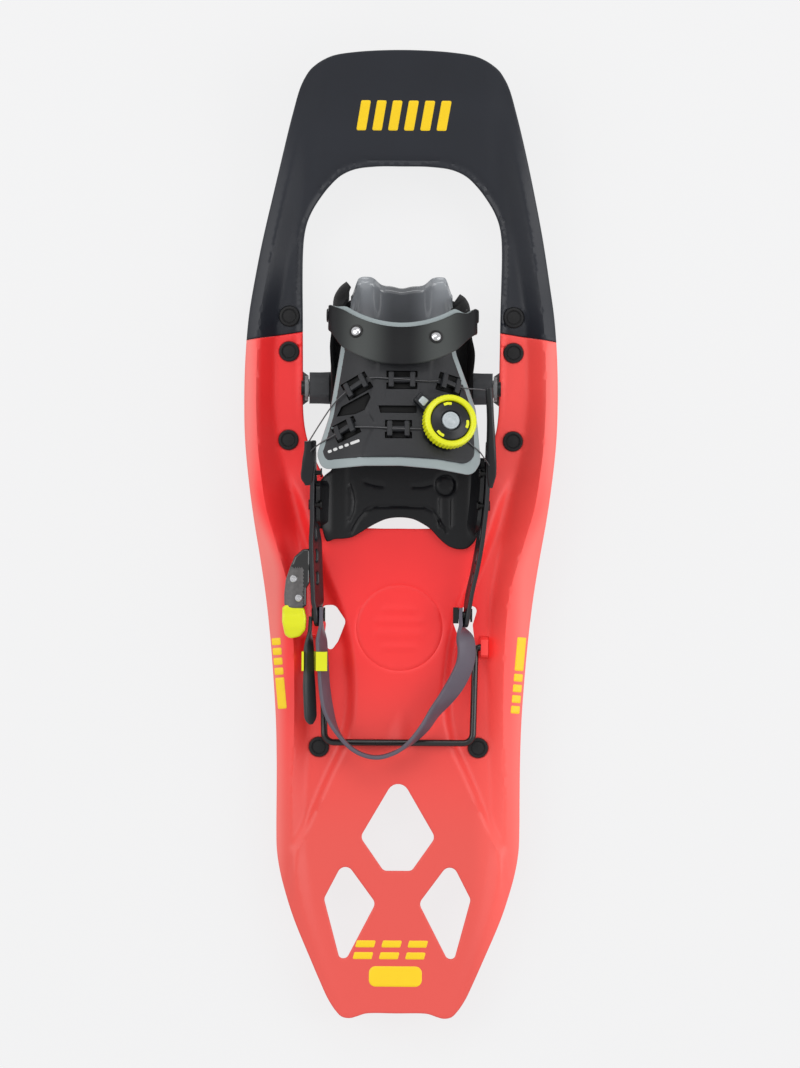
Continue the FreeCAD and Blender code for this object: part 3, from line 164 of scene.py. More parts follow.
def rounded(points, radius, seg=7, step=2.0):
    """Closed polygon with rounded corners, divided into short edges.
    radius is one value or a list with one per corner."""
    n = len(points)
    radii = radius if isinstance(radius, list) else [radius] * n
    out = []
    for i in range(n):
        p, a, b = (np.array(q, float) for q in (points[i], points[i - 1], points[(i + 1) % n]))
        to_a, to_b = np.linalg.norm(a - p), np.linalg.norm(b - p)
        u, w = (a - p) / to_a, (b - p) / to_b
        half = 0.5 * math.acos(max(-1, min(1, float(u @ w))))
        if radii[i] <= 0 or half > math.pi / 2 - 1e-3:
            out.append(p)
            continue
        cut = min(radii[i] / math.tan(half), 0.48 * to_a, 0.48 * to_b)
        arc_radius = cut * math.tan(half)
        centre = p + (u + w) / np.linalg.norm(u + w) * (arc_radius / math.sin(half))
        s, e = p + u * cut - centre, p + w * cut - centre
        cosine = float(s @ e) / (np.linalg.norm(s) * np.linalg.norm(e))
        sweep = math.acos(max(-1, min(1, cosine)))
        for j in range(seg + 1):
            t = j / seg
            arm = (math.sin((1 - t) * sweep) * s + math.sin(t * sweep) * e) / math.sin(sweep)
            out.append(centre + arm)
    return split(out, step)


def rectangle(x0, x1, y0, y1):
    return [(x0, y0), (x1, y0), (x1, y1), (x0, y1)]


def circle_line(cx, cy, radius, n=40):
    return [(cx + radius * math.cos(2 * math.pi * k / n),
             cy + radius * math.sin(2 * math.pi * k / n)) for k in range(n + 1)]


def flanks(points, offsets, step=1.5):
    """Lines beside an open curve, one at each offset."""
    p = np.array(smooth_curve(points, False, step))[:, :2]
    t = np.gradient(p, axis=0)
    t /= np.linalg.norm(t, axis=1)[:, None]
    normal = np.stack([-t[:, 1], t[:, 0]], axis=1)
    return [[tuple(q) for q in p + normal * offset] for offset in offsets]


def line_distance(x, y, points):
    """Distance from many places to an open polyline."""
    d = np.full(np.shape(x), 1e9)
    for (x1, y1), (x2, y2) in zip(points, points[1:]):
        t = ((x - x1) * (x2 - x1) + (y - y1) * (y2 - y1)) / ((x2 - x1) ** 2 + (y2 - y1) ** 2)
        t = np.clip(t, 0, 1)
        d = np.minimum(d, np.hypot(x - x1 - t * (x2 - x1), y - y1 - t * (y2 - y1)))
    return d


def counterclockwise(loop):
    pts = np.array(loop, float)[:, :2]
    x, y = pts[:, 0], pts[:, 1]
    area = 0.5 * float(np.sum(x * np.roll(y, -1) - np.roll(x, -1) * y))
    return pts[::-1] if area < 0 else pts


def inset(loop, distance, outward):
    """A loop moved to its inside, or to its outside."""
    pts = counterclockwise(loop)
    t = np.roll(pts, -1, axis=0) - np.roll(pts, 1, axis=0)
    t /= np.maximum(1e-9, np.linalg.norm(t, axis=1))[:, None]
    normal = np.stack([-t[:, 1], t[:, 0]], axis=1)
    return pts + normal * (-distance if outward else distance)


def inside(px, py, loops):
    """Even-odd test of many points against closed loops, 4000 points at a time."""
    result = np.zeros(len(px), bool)
    for loop in loops:
        a = np.array(loop)[:, :2]
        b = np.roll(a, -1, axis=0)
        for s in range(0, len(px), 4000):
            x, y = px[s:s + 4000, None], py[s:s + 4000, None]
            crosses = (a[:, 1] > y) != (b[:, 1] > y)
            with np.errstate(divide="ignore", invalid="ignore"):
                hit = a[:, 0] + (y - a[:, 1]) * (b[:, 0] - a[:, 0]) / (b[:, 1] - a[:, 1])
            result[s:s + 4000] ^= (np.sum(crosses & (x < hit), axis=1) % 2).astype(bool)
    return result


def point_tree(points):
    """Search tree over points in the XY plane."""
    tree = KDTree(len(points))
    for i, p in enumerate(points):
        tree.insert((p[0], p[1], 0), i)
    tree.balance()
    return tree


def nearest(tree, x, y):
    return tree.find((x, y, 0))[2]


# ======================================================== mesh data: (vertices, faces)
def hex_points(loops, spacing):
    """Staggered grid points inside the loops."""
    x0, y0 = np.array(loops[0])[:, :2].min(axis=0)
    x1, y1 = np.array(loops[0])[:, :2].max(axis=0)
    gx, gy = [], []
    row, y = 0, y0
    while y < y1:
        xs = np.arange(x0 + (spacing / 2 if row % 2 else 0), x1, spacing)
        gx.append(xs)
        gy.append(np.full(len(xs), y))
        y += spacing * 0.866
        row += 1
    gx, gy = np.concatenate(gx), np.concatenate(gy)
    keep = inside(gx, gy, loops)
    return zip(gx[keep], gy[keep])


def sheet_data(loops, top, spacing, edge, thick=0.0, low=None, rows=3, extra=(),
               bottom_edge=0.4):
    """A moulded panel. loops[0] is its outline, the others are holes. top is its upper
    face, and low, or top less thick, its lower one. edge rounds the rims, and extra
    holds lines that the mesh follows."""
    points, drops, constraints, rim = [], [], [], []
    for number, loop in enumerate(loops):
        outward = number > 0
        for k in range(rows + 1):
            phi = math.pi / 2 * k / rows
            ring = inset(loop, edge * (1 - math.cos(phi)), outward)
            start, n = len(points), len(ring)
            points += [tuple(p) for p in ring]
            drops += [edge * (1 - math.sin(phi))] * n
            constraints += [(start + i, start + (i + 1) % n) for i in range(n)]
        rim += split(list(inset(loop, 0, outward)), 0.8)
    for line in extra:
        start = len(points)
        points += [tuple(p) for p in line]
        drops += [0.0] * len(line)
        constraints += [(start + i, start + i + 1) for i in range(len(line) - 1)]
    rim_tree = point_tree(rim)
    line_tree = point_tree([p for line in extra for p in line]) if extra else None
    for x, y in hex_points(loops, spacing):
        if nearest(rim_tree, x, y) < edge + 0.45 * spacing:
            continue
        if line_tree and nearest(line_tree, x, y) < 0.45 * spacing:
            continue
        points.append((x, y))
        drops.append(0.0)
    flat_verts, _, tris, sources, _, _ = geometry.delaunay_2d_cdt(
        [Vector(p) for p in points], constraints, [], 1, 1e-6)
    flat_verts = np.array([tuple(p) for p in flat_verts])
    drop = np.array([max(drops[j] for j in group) if group else 0.0 for group in sources])
    tris = np.array([f for f in tris if len(f) == 3])
    middle = flat_verts[tris].mean(axis=1)
    tris = tris[inside(middle[:, 0], middle[:, 1], loops)]
    used = np.unique(tris)
    remap = -np.ones(len(flat_verts), int)
    remap[used] = np.arange(len(used))
    flat_verts, drop, tris = flat_verts[used], drop[used], remap[tris]
    a, b, c = (flat_verts[tris[:, k]] for k in range(3))
    flip = ((b - a)[:, 0] * (c - a)[:, 1] - (b - a)[:, 1] * (c - a)[:, 0]) < 0
    tris[flip] = tris[flip][:, ::-1]

    x, y = flat_verts[:, 0], flat_verts[:, 1]
    z_top = top(x, y)
    z_low = (low(x, y) if low else z_top - thick) + np.minimum(drop, bottom_edge)
    upper = np.column_stack([flat_verts, z_top - drop])
    lower = np.column_stack([flat_verts, np.minimum(z_low, z_top - drop - 0.01)])
    n = len(flat_verts)
    faces = [tuple(f) for f in tris] + [tuple(n + f[::-1]) for f in tris]
    open_edges = {}
    for f in tris:
        for i in range(3):
            e = (f[i], f[(i + 1) % 3])
            key = tuple(sorted(e))
            open_edges[key] = None if key in open_edges else e
    for e in open_edges.values():
        if e is not None:
            faces.append((e[1], e[0], n + e[0], n + e[1]))
    return list(map(tuple, np.vstack([upper, lower]))), faces


def join(*parts):
    verts, faces = [], []
    for part_verts, part_faces in parts:
        start = len(verts)
        verts += list(part_verts)
        faces += [tuple(i + start for i in f) for f in part_faces]
    return verts, faces


def place(data, matrix):
    return [tuple(matrix @ Vector(p)) for p in data[0]], data[1]


def frame_at(point, normal, spin=0.0):
    """Frame at a point with Z along the normal, spun about it by degrees."""
    turn = Vector((0, 0, 1)).rotation_difference(Vector(normal)).to_matrix().to_4x4()
    return Matrix.Translation(Vector(point)) @ turn @ turn_z(spin)


def turn_z(degrees):
    return Matrix.Rotation(math.radians(degrees), 4, "Z")


def rounded_section(width, thick, radius, seg=4):
    """Closed cross-section of a flat bar with rounded corners."""
    r = min(radius, 0.499 * min(width, thick))
    cx, cy = width / 2 - r, thick / 2 - r
    points = []
    for x, y, first in ((cx, cy, 0), (-cx, cy, 90), (-cx, -cy, 180), (cx, -cy, 270)):
        for j in range(seg + 1):
            a = math.radians(first + 90 * j / seg)
            points.append((x + r * math.cos(a), y + r * math.sin(a)))
    return points


def tube_faces(rings, size, closed=False):
    """Faces between successive rings of vertices, closed on themselves or capped."""
    faces = []
    for i in range(rings if closed else rings - 1):
        j = (i + 1) % rings
        for k in range(size):
            k2 = (k + 1) % size
            faces.append((i * size + k, j * size + k, j * size + k2, i * size + k2))
    if not closed:
        faces.append(tuple(range(size)))
        faces.append(tuple(reversed(range((rings - 1) * size, rings * size))))
    return faces


def sweep_data(path, section, up=(0, 0, 1), lean=None):
    """Sweeps a section along a path. Its first axis is the width, its second the
    thickness. section may, and lean (degrees) must, be a function of the run fraction."""
    pts = np.array(path, float)
    tangents = np.gradient(pts, axis=0)
    tangents /= np.linalg.norm(tangents, axis=1)[:, None]
    verts = []
    for i, (p, tangent) in enumerate(zip(pts, tangents)):
        s = i / (len(pts) - 1)
        across_path = np.cross(tangent, np.array(up, float))
        across_path /= np.linalg.norm(across_path)
        upright = np.cross(across_path, tangent)
        angle = math.radians(lean(s)) if lean else 0.0
        wide = upright * math.cos(angle) + across_path * math.sin(angle)
        deep = across_path * math.cos(angle) - upright * math.sin(angle)
        ring = section(s) if callable(section) else section
        verts += [tuple(p + wide * a + deep * b) for a, b in ring]
    return verts, tube_faces(len(pts), len(ring))


def lathe_data(profile, seg, radius_at=None):
    """Turns a closed (radius, height) profile about Z. radius_at may alter the radius."""
    verts = []
    for i in range(seg):
        a = 2 * math.pi * i / seg
        for r, z in profile:
            radius = radius_at(a, r, z) if radius_at else r
            verts.append((radius * math.cos(a), radius * math.sin(a), z))
    return verts, tube_faces(seg, len(profile), closed=True)


def slab_data(surface, nu, nv, thick):
    """A closed slab below surface(u, v), u and v in 0..1."""
    outer = np.array([[surface(u, v) for v in np.linspace(0, 1, nv)]
                      for u in np.linspace(0, 1, nu)])
    normal = np.cross(np.gradient(outer, axis=0), np.gradient(outer, axis=1))
    normal /= np.maximum(1e-9, np.linalg.norm(normal, axis=2))[:, :, None]
    if normal[nu // 2, nv // 2, 2] < 0:
        normal = -normal
    inner = outer - normal * thick
    verts = [tuple(p) for layer in (outer, inner) for p in layer.reshape(-1, 3)]
    n = nu * nv
    faces = []
    for i in range(nu - 1):
        for j in range(nv - 1):
            a, b = i * nv + j, (i + 1) * nv + j
            quad = (a, b, b + 1, a + 1)
            faces += [quad, tuple(n + q for q in reversed(quad))]
    last = (nu - 1) * nv
    rim = ([i * nv for i in range(nu)] + [last + j for j in range(1, nv)]
           + [i * nv + nv - 1 for i in range(nu - 2, -1, -1)] + list(range(nv - 2, 0, -1)))
    for a, b in zip(rim, rim[1:] + rim[:1]):
        faces.append((b, a, n + a, n + b))
    return verts, faces


# ======================================================== materials
MATERIALS = {}


def srgb(*channels):
    """Linear RGBA from 0..255 sRGB channels."""
    return tuple((c / 255.0) / 12.92 if c <= 10.31 else ((c / 255.0 + 0.055) / 1.055) ** 2.4
                 for c in channels) + (1.0,)


def math_node(tree, operation, *values):
    """Math node fed by sockets or plain numbers."""
    node = tree.nodes.new("ShaderNodeMath")
    node.operation = operation
    for slot, value in zip(node.inputs, values):
        if isinstance(value, float):
            slot.default_value = value
        else:
            tree.links.new(value, slot)
    return node.outputs[0]


def mix_node(tree, factor, base, colour):
    """Mixes a colour socket towards a fixed colour."""
    node = tree.nodes.new("ShaderNodeMixRGB")
    tree.links.new(factor, node.inputs["Fac"])
    tree.links.new(base, node.inputs["Color1"])
    node.inputs["Color2"].default_value = colour
    return node.outputs["Color"]


def fade_node(tree, value, start, end, top=1.0):
    """Smooth rise from 0 at start to top at end."""
    node = tree.nodes.new("ShaderNodeMapRange")
    node.interpolation_type = "SMOOTHSTEP"
    node.inputs["From Min"].default_value = start
    node.inputs["From Max"].default_value = end
    node.inputs["To Max"].default_value = top
    tree.links.new(value, node.inputs["Value"])
    return node.outputs["Result"]


def noise_node(tree, scale, detail):
    node = tree.nodes.new("ShaderNodeTexNoise")
    node.inputs["Scale"].default_value = scale
    node.inputs["Detail"].default_value = detail
    return node


def material(name, rgb, rough, grain, metallic=0.0, spec=0.5, grain_scale=2600, mottle=0.05,
             mottle_scale=60, coat=0.0, weave=0.0, weave_scale=0.0, wear=None, brushed=False):
    """Surface with a slow drift of tone (mottle) and fine relief (grain).
    weave adds crossed ribs, wear a second colour on raised edges, and brushed
    stretches the grain along X."""
    mat = bpy.data.materials.new(name)
    mat.use_nodes = True
    tree = mat.node_tree
    new, link = tree.nodes.new, tree.links.new
    bsdf = tree.nodes["Principled BSDF"]
    for key, value in (("Metallic", metallic), ("Specular IOR Level", spec),
                       ("Coat Weight", coat), ("Coat Roughness", 0.12)):
        bsdf.inputs[key].default_value = value
    coords = new("ShaderNodeTexCoord")
    mapping = new("ShaderNodeMapping")
    link(coords.outputs["Object"], mapping.inputs["Vector"])

    # tone
    slow = noise_node(tree, scale=mottle_scale, detail=3.0)
    link(mapping.outputs["Vector"], slow.inputs["Vector"])
    tone = new("ShaderNodeValToRGB")
    base = srgb(*rgb)[:3]
    dark, light = tone.color_ramp.elements
    dark.position, light.position = 0.3, 0.7
    dark.color = tuple(max(0.0, c * (1 - mottle)) for c in base) + (1,)
    light.color = tuple(min(1.0, c * (1 + mottle)) for c in base) + (1,)
    link(slow.outputs["Fac"], tone.inputs["Fac"])
    colour = tone.outputs["Color"]
    if wear is not None:
        shape = new("ShaderNodeNewGeometry")
        edges = new("ShaderNodeValToRGB")
        start, end = edges.color_ramp.elements
        start.position, end.position = 0.54, 0.62
        link(shape.outputs["Pointiness"], edges.inputs["Fac"])
        colour = mix_node(tree, edges.outputs["Color"], colour, srgb(*wear))
    link(colour, bsdf.inputs["Base Color"])

    # roughness drifts with the tone
    spread = 0.06
    drift = new("ShaderNodeMapRange")
    drift.inputs["To Min"].default_value = max(0.03, rough - spread)
    drift.inputs["To Max"].default_value = rough + spread
    link(slow.outputs["Fac"], drift.inputs["Value"])
    link(drift.outputs["Result"], bsdf.inputs["Roughness"])

    # relief
    fine = noise_node(tree, scale=grain_scale, detail=2.0)
    grain_mapping = mapping
    if brushed:
        grain_mapping = new("ShaderNodeMapping")
        grain_mapping.inputs["Scale"].default_value = (0.04, 1.0, 1.0)
        link(coords.outputs["Object"], grain_mapping.inputs["Vector"])
    link(grain_mapping.outputs["Vector"], fine.inputs["Vector"])
    height = fine.outputs["Fac"]
    if weave > 0:
        waves = []
        for direction in "XY":
            wave = new("ShaderNodeTexWave")
            wave.bands_direction = direction
            wave.inputs["Scale"].default_value = weave_scale
            wave.inputs["Distortion"].default_value = 0.4
            link(mapping.outputs["Vector"], wave.inputs["Vector"])
            waves.append(wave.outputs["Fac"])
        crossed = math_node(tree, "MULTIPLY", *waves)
        height = math_node(tree, "MULTIPLY_ADD", crossed, weave, height)
    relief = new("ShaderNodeBump")
    relief.inputs["Strength"].default_value = grain
    relief.inputs["Distance"].default_value = 0.0002
    link(height, relief.inputs["Height"])
    link(relief.outputs["Normal"], bsdf.inputs["Normal"])
    MATERIALS[name] = mat


material("deck_red", (236, 44, 45), rough=0.42, grain=0.10, mottle=0.03, mottle_scale=22,
         spec=0.45)
material("nose_black", (27, 30, 38), rough=0.42, grain=0.12, mottle=0.07, mottle_scale=26,
         spec=0.40)
material("rail_coat", (30, 31, 33), rough=0.45, metallic=0.2, grain=0.2, wear=(120, 120, 122))
material("crampon_steel", (150, 152, 156), rough=0.36, metallic=1.0, grain=0.25,
         grain_scale=900, brushed=True, mottle=0.12, mottle_scale=90)
material("black_metal", (14, 14, 15), rough=0.35, metallic=0.3, grain=0.15, mottle=0.15,
         mottle_scale=120)
material("bright_steel", (205, 205, 208), rough=0.16, metallic=1.0, grain=0.06, mottle=0.05,
         mottle_scale=200)
material("wire_black", (20, 20, 22), rough=0.28, metallic=0.2, grain=0.12, coat=0.3)
material("cord_rubber", (58, 59, 62), rough=0.55, grain=0.3, weave=1.2, weave_scale=420,
         mottle=0.1, spec=0.35)
material("platform_black", (11, 12, 16), rough=0.38, grain=0.2, grain_scale=1800, mottle=0.1,
         mottle_scale=50, spec=0.32)
material("cup_grey", (84, 86, 90), rough=0.16, coat=0.8, grain=0.04, mottle=0.12,
         mottle_scale=40)
material("harness_black", (27, 28, 32), rough=0.46, grain=0.25, weave=0.6, weave_scale=900,
         mottle=0.08, mottle_scale=70, spec=0.4)
material("buckle_grey", (82, 80, 80), rough=0.4, grain=0.4, grain_scale=1500, mottle=0.2,
         mottle_scale=400)
material("cap_gloss", (12, 12, 13), rough=0.2, grain=0.05, mottle=0.1, coat=0.5)
# painted shade for the floors of the panel's sunken pockets
material("pocket_shade_black", (7, 7, 8), rough=0.6, grain=0.2, mottle=0.1, spec=0.2)
material("harness_dark", (9, 9, 11), rough=0.6, grain=0.25, mottle=0.1, spec=0.2)
material("toe_band", (12, 13, 16), rough=0.5, grain=0.12, mottle=0.1, mottle_scale=40,
         spec=0.22)
material("trim_grey", (138, 148, 150), rough=0.42, grain=0.1, mottle=0.05)
material("strap_black", (86, 79, 91), rough=0.42, grain=0.15, mottle=0.08, mottle_scale=80,
         spec=0.45)
# the loose strap end: a darker copy of the strap's material, painted shade of the strap's
# darker left side
material("strap_end", (40, 46, 48), rough=0.38, grain=0.15, mottle=0.08, mottle_scale=80,
         spec=0.45)
material("arm_black", (26, 27, 31), rough=0.36, grain=0.15, mottle=0.08)
material("accent_lime", (214, 217, 0), rough=0.34, grain=0.06, mottle=0.03, coat=0.1)
material("dial_black", (17, 19, 23), rough=0.34, grain=0.12, mottle=0.08, spec=0.4)
material("hub_grey", (170, 178, 182), rough=0.26, grain=0.06, mottle=0.06, coat=0.3)
material("cable_steel", (92, 92, 94), rough=0.4, metallic=0.8, grain=0.4, grain_scale=5000)
material("print_yellow", (240, 200, 0), rough=0.45, grain=0.05, mottle=0.02)
material("print_white", (205, 205, 205), rough=0.45, grain=0.05, mottle=0.02)
material("rivet_black", (22, 22, 24), rough=0.5, metallic=0.1, grain=0.2, mottle=0.12,
         mottle_scale=150, spec=0.35)
material("washer_grey", (150, 150, 152), rough=0.5, grain=0.2)


def position_parts(mat):
    """Tree, shader, base colour socket and separated object position of a material."""
    tree = mat.node_tree
    bsdf = tree.nodes["Principled BSDF"]
    source = bsdf.inputs["Base Color"].links[0].from_socket
    coords = tree.nodes.new("ShaderNodeTexCoord")
    position = tree.nodes.new("ShaderNodeSeparateXYZ")
    tree.links.new(coords.outputs["Object"], position.inputs[0])
    return tree, bsdf, source, position.outputs


def paint_deck_light(mat):
    """Paints light into the red: painted highlights of coral towards the tail, on the outer
    flanges and to the right, and a faint painted glow.
    """
    tree, bsdf, colour, position = position_parts(mat)
    tail = fade_node(tree, position["Y"], start=-0.05, end=-0.21)
    from_middle = math_node(tree, "ABSOLUTE", position["X"])
    # behind the middle the painted flange highlight starts further in
    aft = fade_node(tree, position["Y"], start=0.030, end=-0.030, top=0.018)
    width = math_node(tree, "ADD", from_middle, aft)
    rim = fade_node(tree, width, start=0.087, end=0.097)
    tail = math_node(tree, "MULTIPLY", tail, 1.0)
    # painted highlights: coral towards the tail, a lighter tone on the outer flanges and
    # towards the right
    colour = mix_node(tree, tail, colour, srgb(214, 78, 70))
    colour = mix_node(tree, rim, colour, srgb(224, 112, 106))
    right = fade_node(tree, position["X"], start=0.044, end=0.068, top=0.5)
    colour = mix_node(tree, right, colour, srgb(254, 98, 90))
    tree.links.new(colour, bsdf.inputs["Base Color"])
    # painted light: a faint glow in the deck's own red lifts its shaded folds and channels
    tree.links.new(colour, bsdf.inputs["Emission Color"])
    bsdf.inputs["Emission Strength"].default_value = 0.09


def paint_shoulder_sheen(mat, shoulder, x_shoulder, x_end):
    """Paints a sheen: drifts the colour to a lighter shoulder colour away from the middle, and
    back at the ends.
    """
    tree, bsdf, colour, position = position_parts(mat)
    from_middle = math_node(tree, "ABSOLUTE", position["X"])
    rise = fade_node(tree, from_middle, start=0.004, end=x_shoulder)
    fall = fade_node(tree, from_middle, start=x_end, end=x_shoulder + 0.002)
    factor = math_node(tree, "MULTIPLY", rise, fall)
    tree.links.new(mix_node(tree, factor, colour, shoulder), bsdf.inputs["Base Color"])


# painted highlights and a faint painted glow on the red deck
paint_deck_light(MATERIALS["deck_red"])
# painted sheen: lighter shoulders on the toe band and the toe cup
paint_shoulder_sheen(MATERIALS["toe_band"], srgb(66, 69, 68), x_shoulder=0.024, x_end=0.044)
paint_shoulder_sheen(MATERIALS["cup_grey"], srgb(138, 142, 147), x_shoulder=0.026, x_end=0.050)


def bevel(obj, width, segments=2, angle=30):
    modifier = obj.modifiers.new("edge", "BEVEL")
    modifier.width = width * MM
    modifier.segments = segments
    modifier.limit_method = "ANGLE"
    modifier.angle_limit = math.radians(angle)
    modifier.harden_normals = False


def build(name, data, body, mat, sharp=40, replaces=None, recalc=True):
    """Makes an object from mesh data. sharp is the angle above which edges stay crisp,
    and recalc turns all normals outwards."""
    mesh = bpy.data.meshes.new(name)
    mesh.from_pydata([tuple(float(c) * MM for c in p) for p in data[0]], [],
                     [tuple(int(i) for i in f) for f in data[1]])
    mesh.validate()
    mesh.update()
    obj = bpy.data.objects.new(name, mesh)
    scene.collection.objects.link(obj)
    mesh.shade_smooth()
    mesh.set_sharp_from_angle(angle=math.radians(sharp))
    mesh.materials.append(MATERIALS[mat])
    if body:
        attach(obj, body)
    if replaces:
        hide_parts(replaces)
    if recalc:
        edit = bmesh.new()
        edit.from_mesh(mesh)
        bmesh.ops.recalc_face_normals(edit, faces=edit.faces)
        edit.to_mesh(mesh)
        edit.free()
        mesh.update()
    return obj


# materials and rounded edges of the CAD pieces: material, edge width, pieces
for mat, width, pieces in (
        ("rail_coat", 0.3, "traction_rail_left traction_rail_right"),
        ("black_metal", 0.25, "deck_rivets"),
        ("black_metal", 0.2, "rivet_washers lift_bracket_screws wing_rivets"),
        ("black_metal", 0.4, "toe_cord_pins"),
        ("black_metal", 0.3, "arm_rivets harness_pivot_rivets strap_posts"),
        ("crampon_steel", 0.3, "heel_crampon toe_crampon platform_rivets"),
        ("deck_red", 0.5, "lift_brackets"),
        ("deck_red", 0.0, "tail_deck"),
        ("nose_black", 0.0, "nose_deck"),
        ("cord_rubber", 0.5, "toe_cord"),
        ("washer_grey", 0.1, "pivot_washers"),
        ("arm_black", 0.5, "heel_arm_left heel_arm_right"),
        ("dial_black", 0.5, "lace_guide_left lace_guide_right buckle_body"),
        ("dial_black", 0.3, "dial_housing"),
        ("dial_black", 0.2, "dial_cap"),
        ("dial_black", 0.1, "lace_spool"),
        ("bright_steel", 0.2, "buckle_pin"),
        ("bright_steel", 0.3, "buckle_screws"),
        ("bright_steel", 0.1, "toe_strap_studs"),
        ("platform_black", 0.5, "foot_platform"),
        ("cup_grey", 0.5, "toe_cup"),
        ("harness_black", 0.4, "wing_left wing_right instep_overlay"),
        ("harness_dark", 0.0, "lace_bridges"),
        ("toe_band", 0.5, "toe_strap"),
        ("trim_grey", 0.4, "instep_underlay"),
        ("cable_steel", 0.0, "lace"),
        ("hub_grey", 0.2, "dial_button"),
        ("accent_lime", 0.2, "dial_grip"),
        ("accent_lime", 0.6, "buckle_lever"),
        ("accent_lime", 0.4, "strap_keeper"),
        ("strap_black", 0.4, "heel_strap strap_tail"),
        ("wire_black", 0.0, "heel_lift_bail")):
    for piece in pieces.split():
        NODES[piece].data.materials.clear()
        NODES[piece].data.materials.append(MATERIALS[mat])
        if width:
            bevel(NODES[piece], width)

# ======================================================== deck shape
FLOOR = 23.0  # height of the deck's plain upper face
# y, half width, from nose to tail
OUTLINE = [
    (302.1, 41.6), (300.8, 46.6), (298.3, 52.0), (295.8, 55.8), (292.0, 59.9), (285.7, 63.6),
    (279.4, 66.2), (266.8, 69.9), (254.2, 73.4), (235.3, 78.1), (210.1, 83.7), (184.9, 88.7),
    (159.7, 92.8), (134.5, 96.4), (109.3, 98.2), (84.1, 98.7), (58.9, 98.0), (33.7, 95.5),
    (8.5, 92.0), (-16.7, 87.7), (-41.9, 83.9), (-67.1, 81.1), (-92.3, 79.0), (-117.5, 77.4),
    (-142.7, 76.7), (-167.9, 76.6), (-186.0, 76.6), (-199.4, 76.2), (-212.0, 74.3),
    (-224.6, 71.1), (-243.5, 64.8), (-268.7, 54.2), (-281.3, 48.7), (-293.0, 43.2)]
# x, y of the right half of each end
NOSE = [(31.0, 303.5), (19.0, 304.4), (0.0, 304.9)]
TAIL = [(38.4, -300.2), (34.5, -304.0), (29.5, -304.9), (24.5, -303.6), (19.5, -302.0),
        (0.0, -301.8)]
# ridge along the side: y, crest's distance from the edge, run of the inner slope,
# crest height, drop from crest to edge
RIDGE = [
    (310, 6.0, 9.0, 0.0, 0.0), (280, 6.5, 9.5, 0.6, 0.4), (250, 7.0, 10.5, 2.6, 1.4),
    (200, 7.4, 12.0, 7.0, 3.2), (150, 7.2, 11.6, 9.0, 4.2), (84, 7.6, 11.4, 10.0, 4.6),
    (55, 8.0, 12.8, 11.4, 5.0), (20, 8.6, 16.6, 14.6, 6.0), (-5, 11.6, 15.0, 14.0, 6.6),
    (-42, 15.4, 11.6, 12.2, 7.0), (-75, 14.2, 10.6, 10.4, 6.6), (-105, 12.4, 10.0, 8.8, 6.0),
    (-135, 10.8, 9.4, 7.6, 5.2), (-168, 9.6, 9.0, 6.4, 4.4), (-205, 9.6, 9.0, 4.4, 3.4),
    (-245, 7.0, 7.6, 2.4, 2.0), (-275, 5.0, 6.0, 1.3, 1.2), (-312, 3.4, 5.0, 0.4, 0.4)]
# raised pad behind the opening: y, half width, height
PAD = [
    (60, 74.0, 0.0), (46, 70.0, 0.0), (20, 60.0, 4.6), (0, 54.0, 6.0), (-19, 47.0, 6.0),
    (-43, 36.4, 6.0), (-60, 31.2, 6.0), (-75, 28.2, 6.0), (-99, 26.4, 6.0), (-113, 27.0, 6.0),
    (-128, 30.0, 5.9), (-155, 41.4, 5.4), (-181, 52.6, 4.8), (-203, 62.0, 4.2),
    (-240, 66.0, 3.4), (-275, 60.0, 2.6), (-312, 56.0, 2.0)]
PAD_SLOPE = 7.5
# x, y of the right half of the big opening, front to back
OPENING = [
    (0.0, 230.6), (17.2, 230.4), (31.0, 228.6), (40.0, 224.6), (47.0, 218.2), (53.0, 210.6),
    (57.8, 202.8), (60.8, 195.4), (62.4, 187.0), (62.9, 176.0), (62.7, 159.0), (62.3, 140.8),
    (62.1, 121.9), (61.9, 103.0), (61.8, 84.1), (61.4, 74.7), (60.2, 65.2), (57.6, 55.4),
    (53.2, 45.6), (48.6, 36.4), (44.6, 26.4), (41.0, 16.0), (36.2, 8.4), (28.0, 4.4),
    (14.0, 3.4)]
# corners (x, y) and corner radii of the smaller holes
CENTRE_HOLE = [(0.0, -150.5), (23.6, -191.0), (8.8, -212.2), (-8.8, -212.2), (-23.6, -191.0)]
CENTRE_HOLE_RADII = [7, 5, 4, 4, 5]
SIDE_HOLE = [(33.6, -205.5), (13.6, -232.6), (31.6, -267.5), (36.2, -267.5), (46.2, -230.0)]
SIDE_HOLE_RADII = [5, 5, 4, 4, 5]
EAR_HOLE = [(49.6, -45.4), (40.5, -44.9), (33.6, -55.0), (38.6, -68.0), (44.0, -75.6),
            (47.4, -66.5), (46.2, -57.0)]
EAR_HOLE_RADII = [3, 5, 4, 5, 3, 5, 5]
RIVETS = [(s * 70.7, y) for y in (136.8, 114.5, 58.8) for s in (-1, 1)]
RIVETS += [(s * 50.1, -134.5) for s in (-1, 1)]
RIVET_SEAT = 6.75
RIVET_SEAT_RINGS = (6.72, 6.78)
SEAT_Z = FLOOR - 0.6
MEDALLION_Y = -59.0
# tread bars of the medallion: y, half width
TREAD_BARS = ((-47.0, 10.0), (-55.0, 15.0), (-63.0, 15.0), (-71.0, 10.0))

outline_width = sampled(OUTLINE, 1)
ridge_foot, ridge_run, ridge_height, ridge_drop = (sampled(RIDGE, c) for c in (1, 2, 3, 4))
pad_width, pad_height = (sampled(PAD, c) for c in (1, 2))


def half_width(y):
    """Half width of the deck, run on in straight lines past both shoulders."""
    tail = np.where(y < -281.3, 48.7 + (y + 281.3) * 0.44, outline_width(y))
    return np.where(y > 254.2, 73.4 - (y - 254.2) * 0.272, tail)


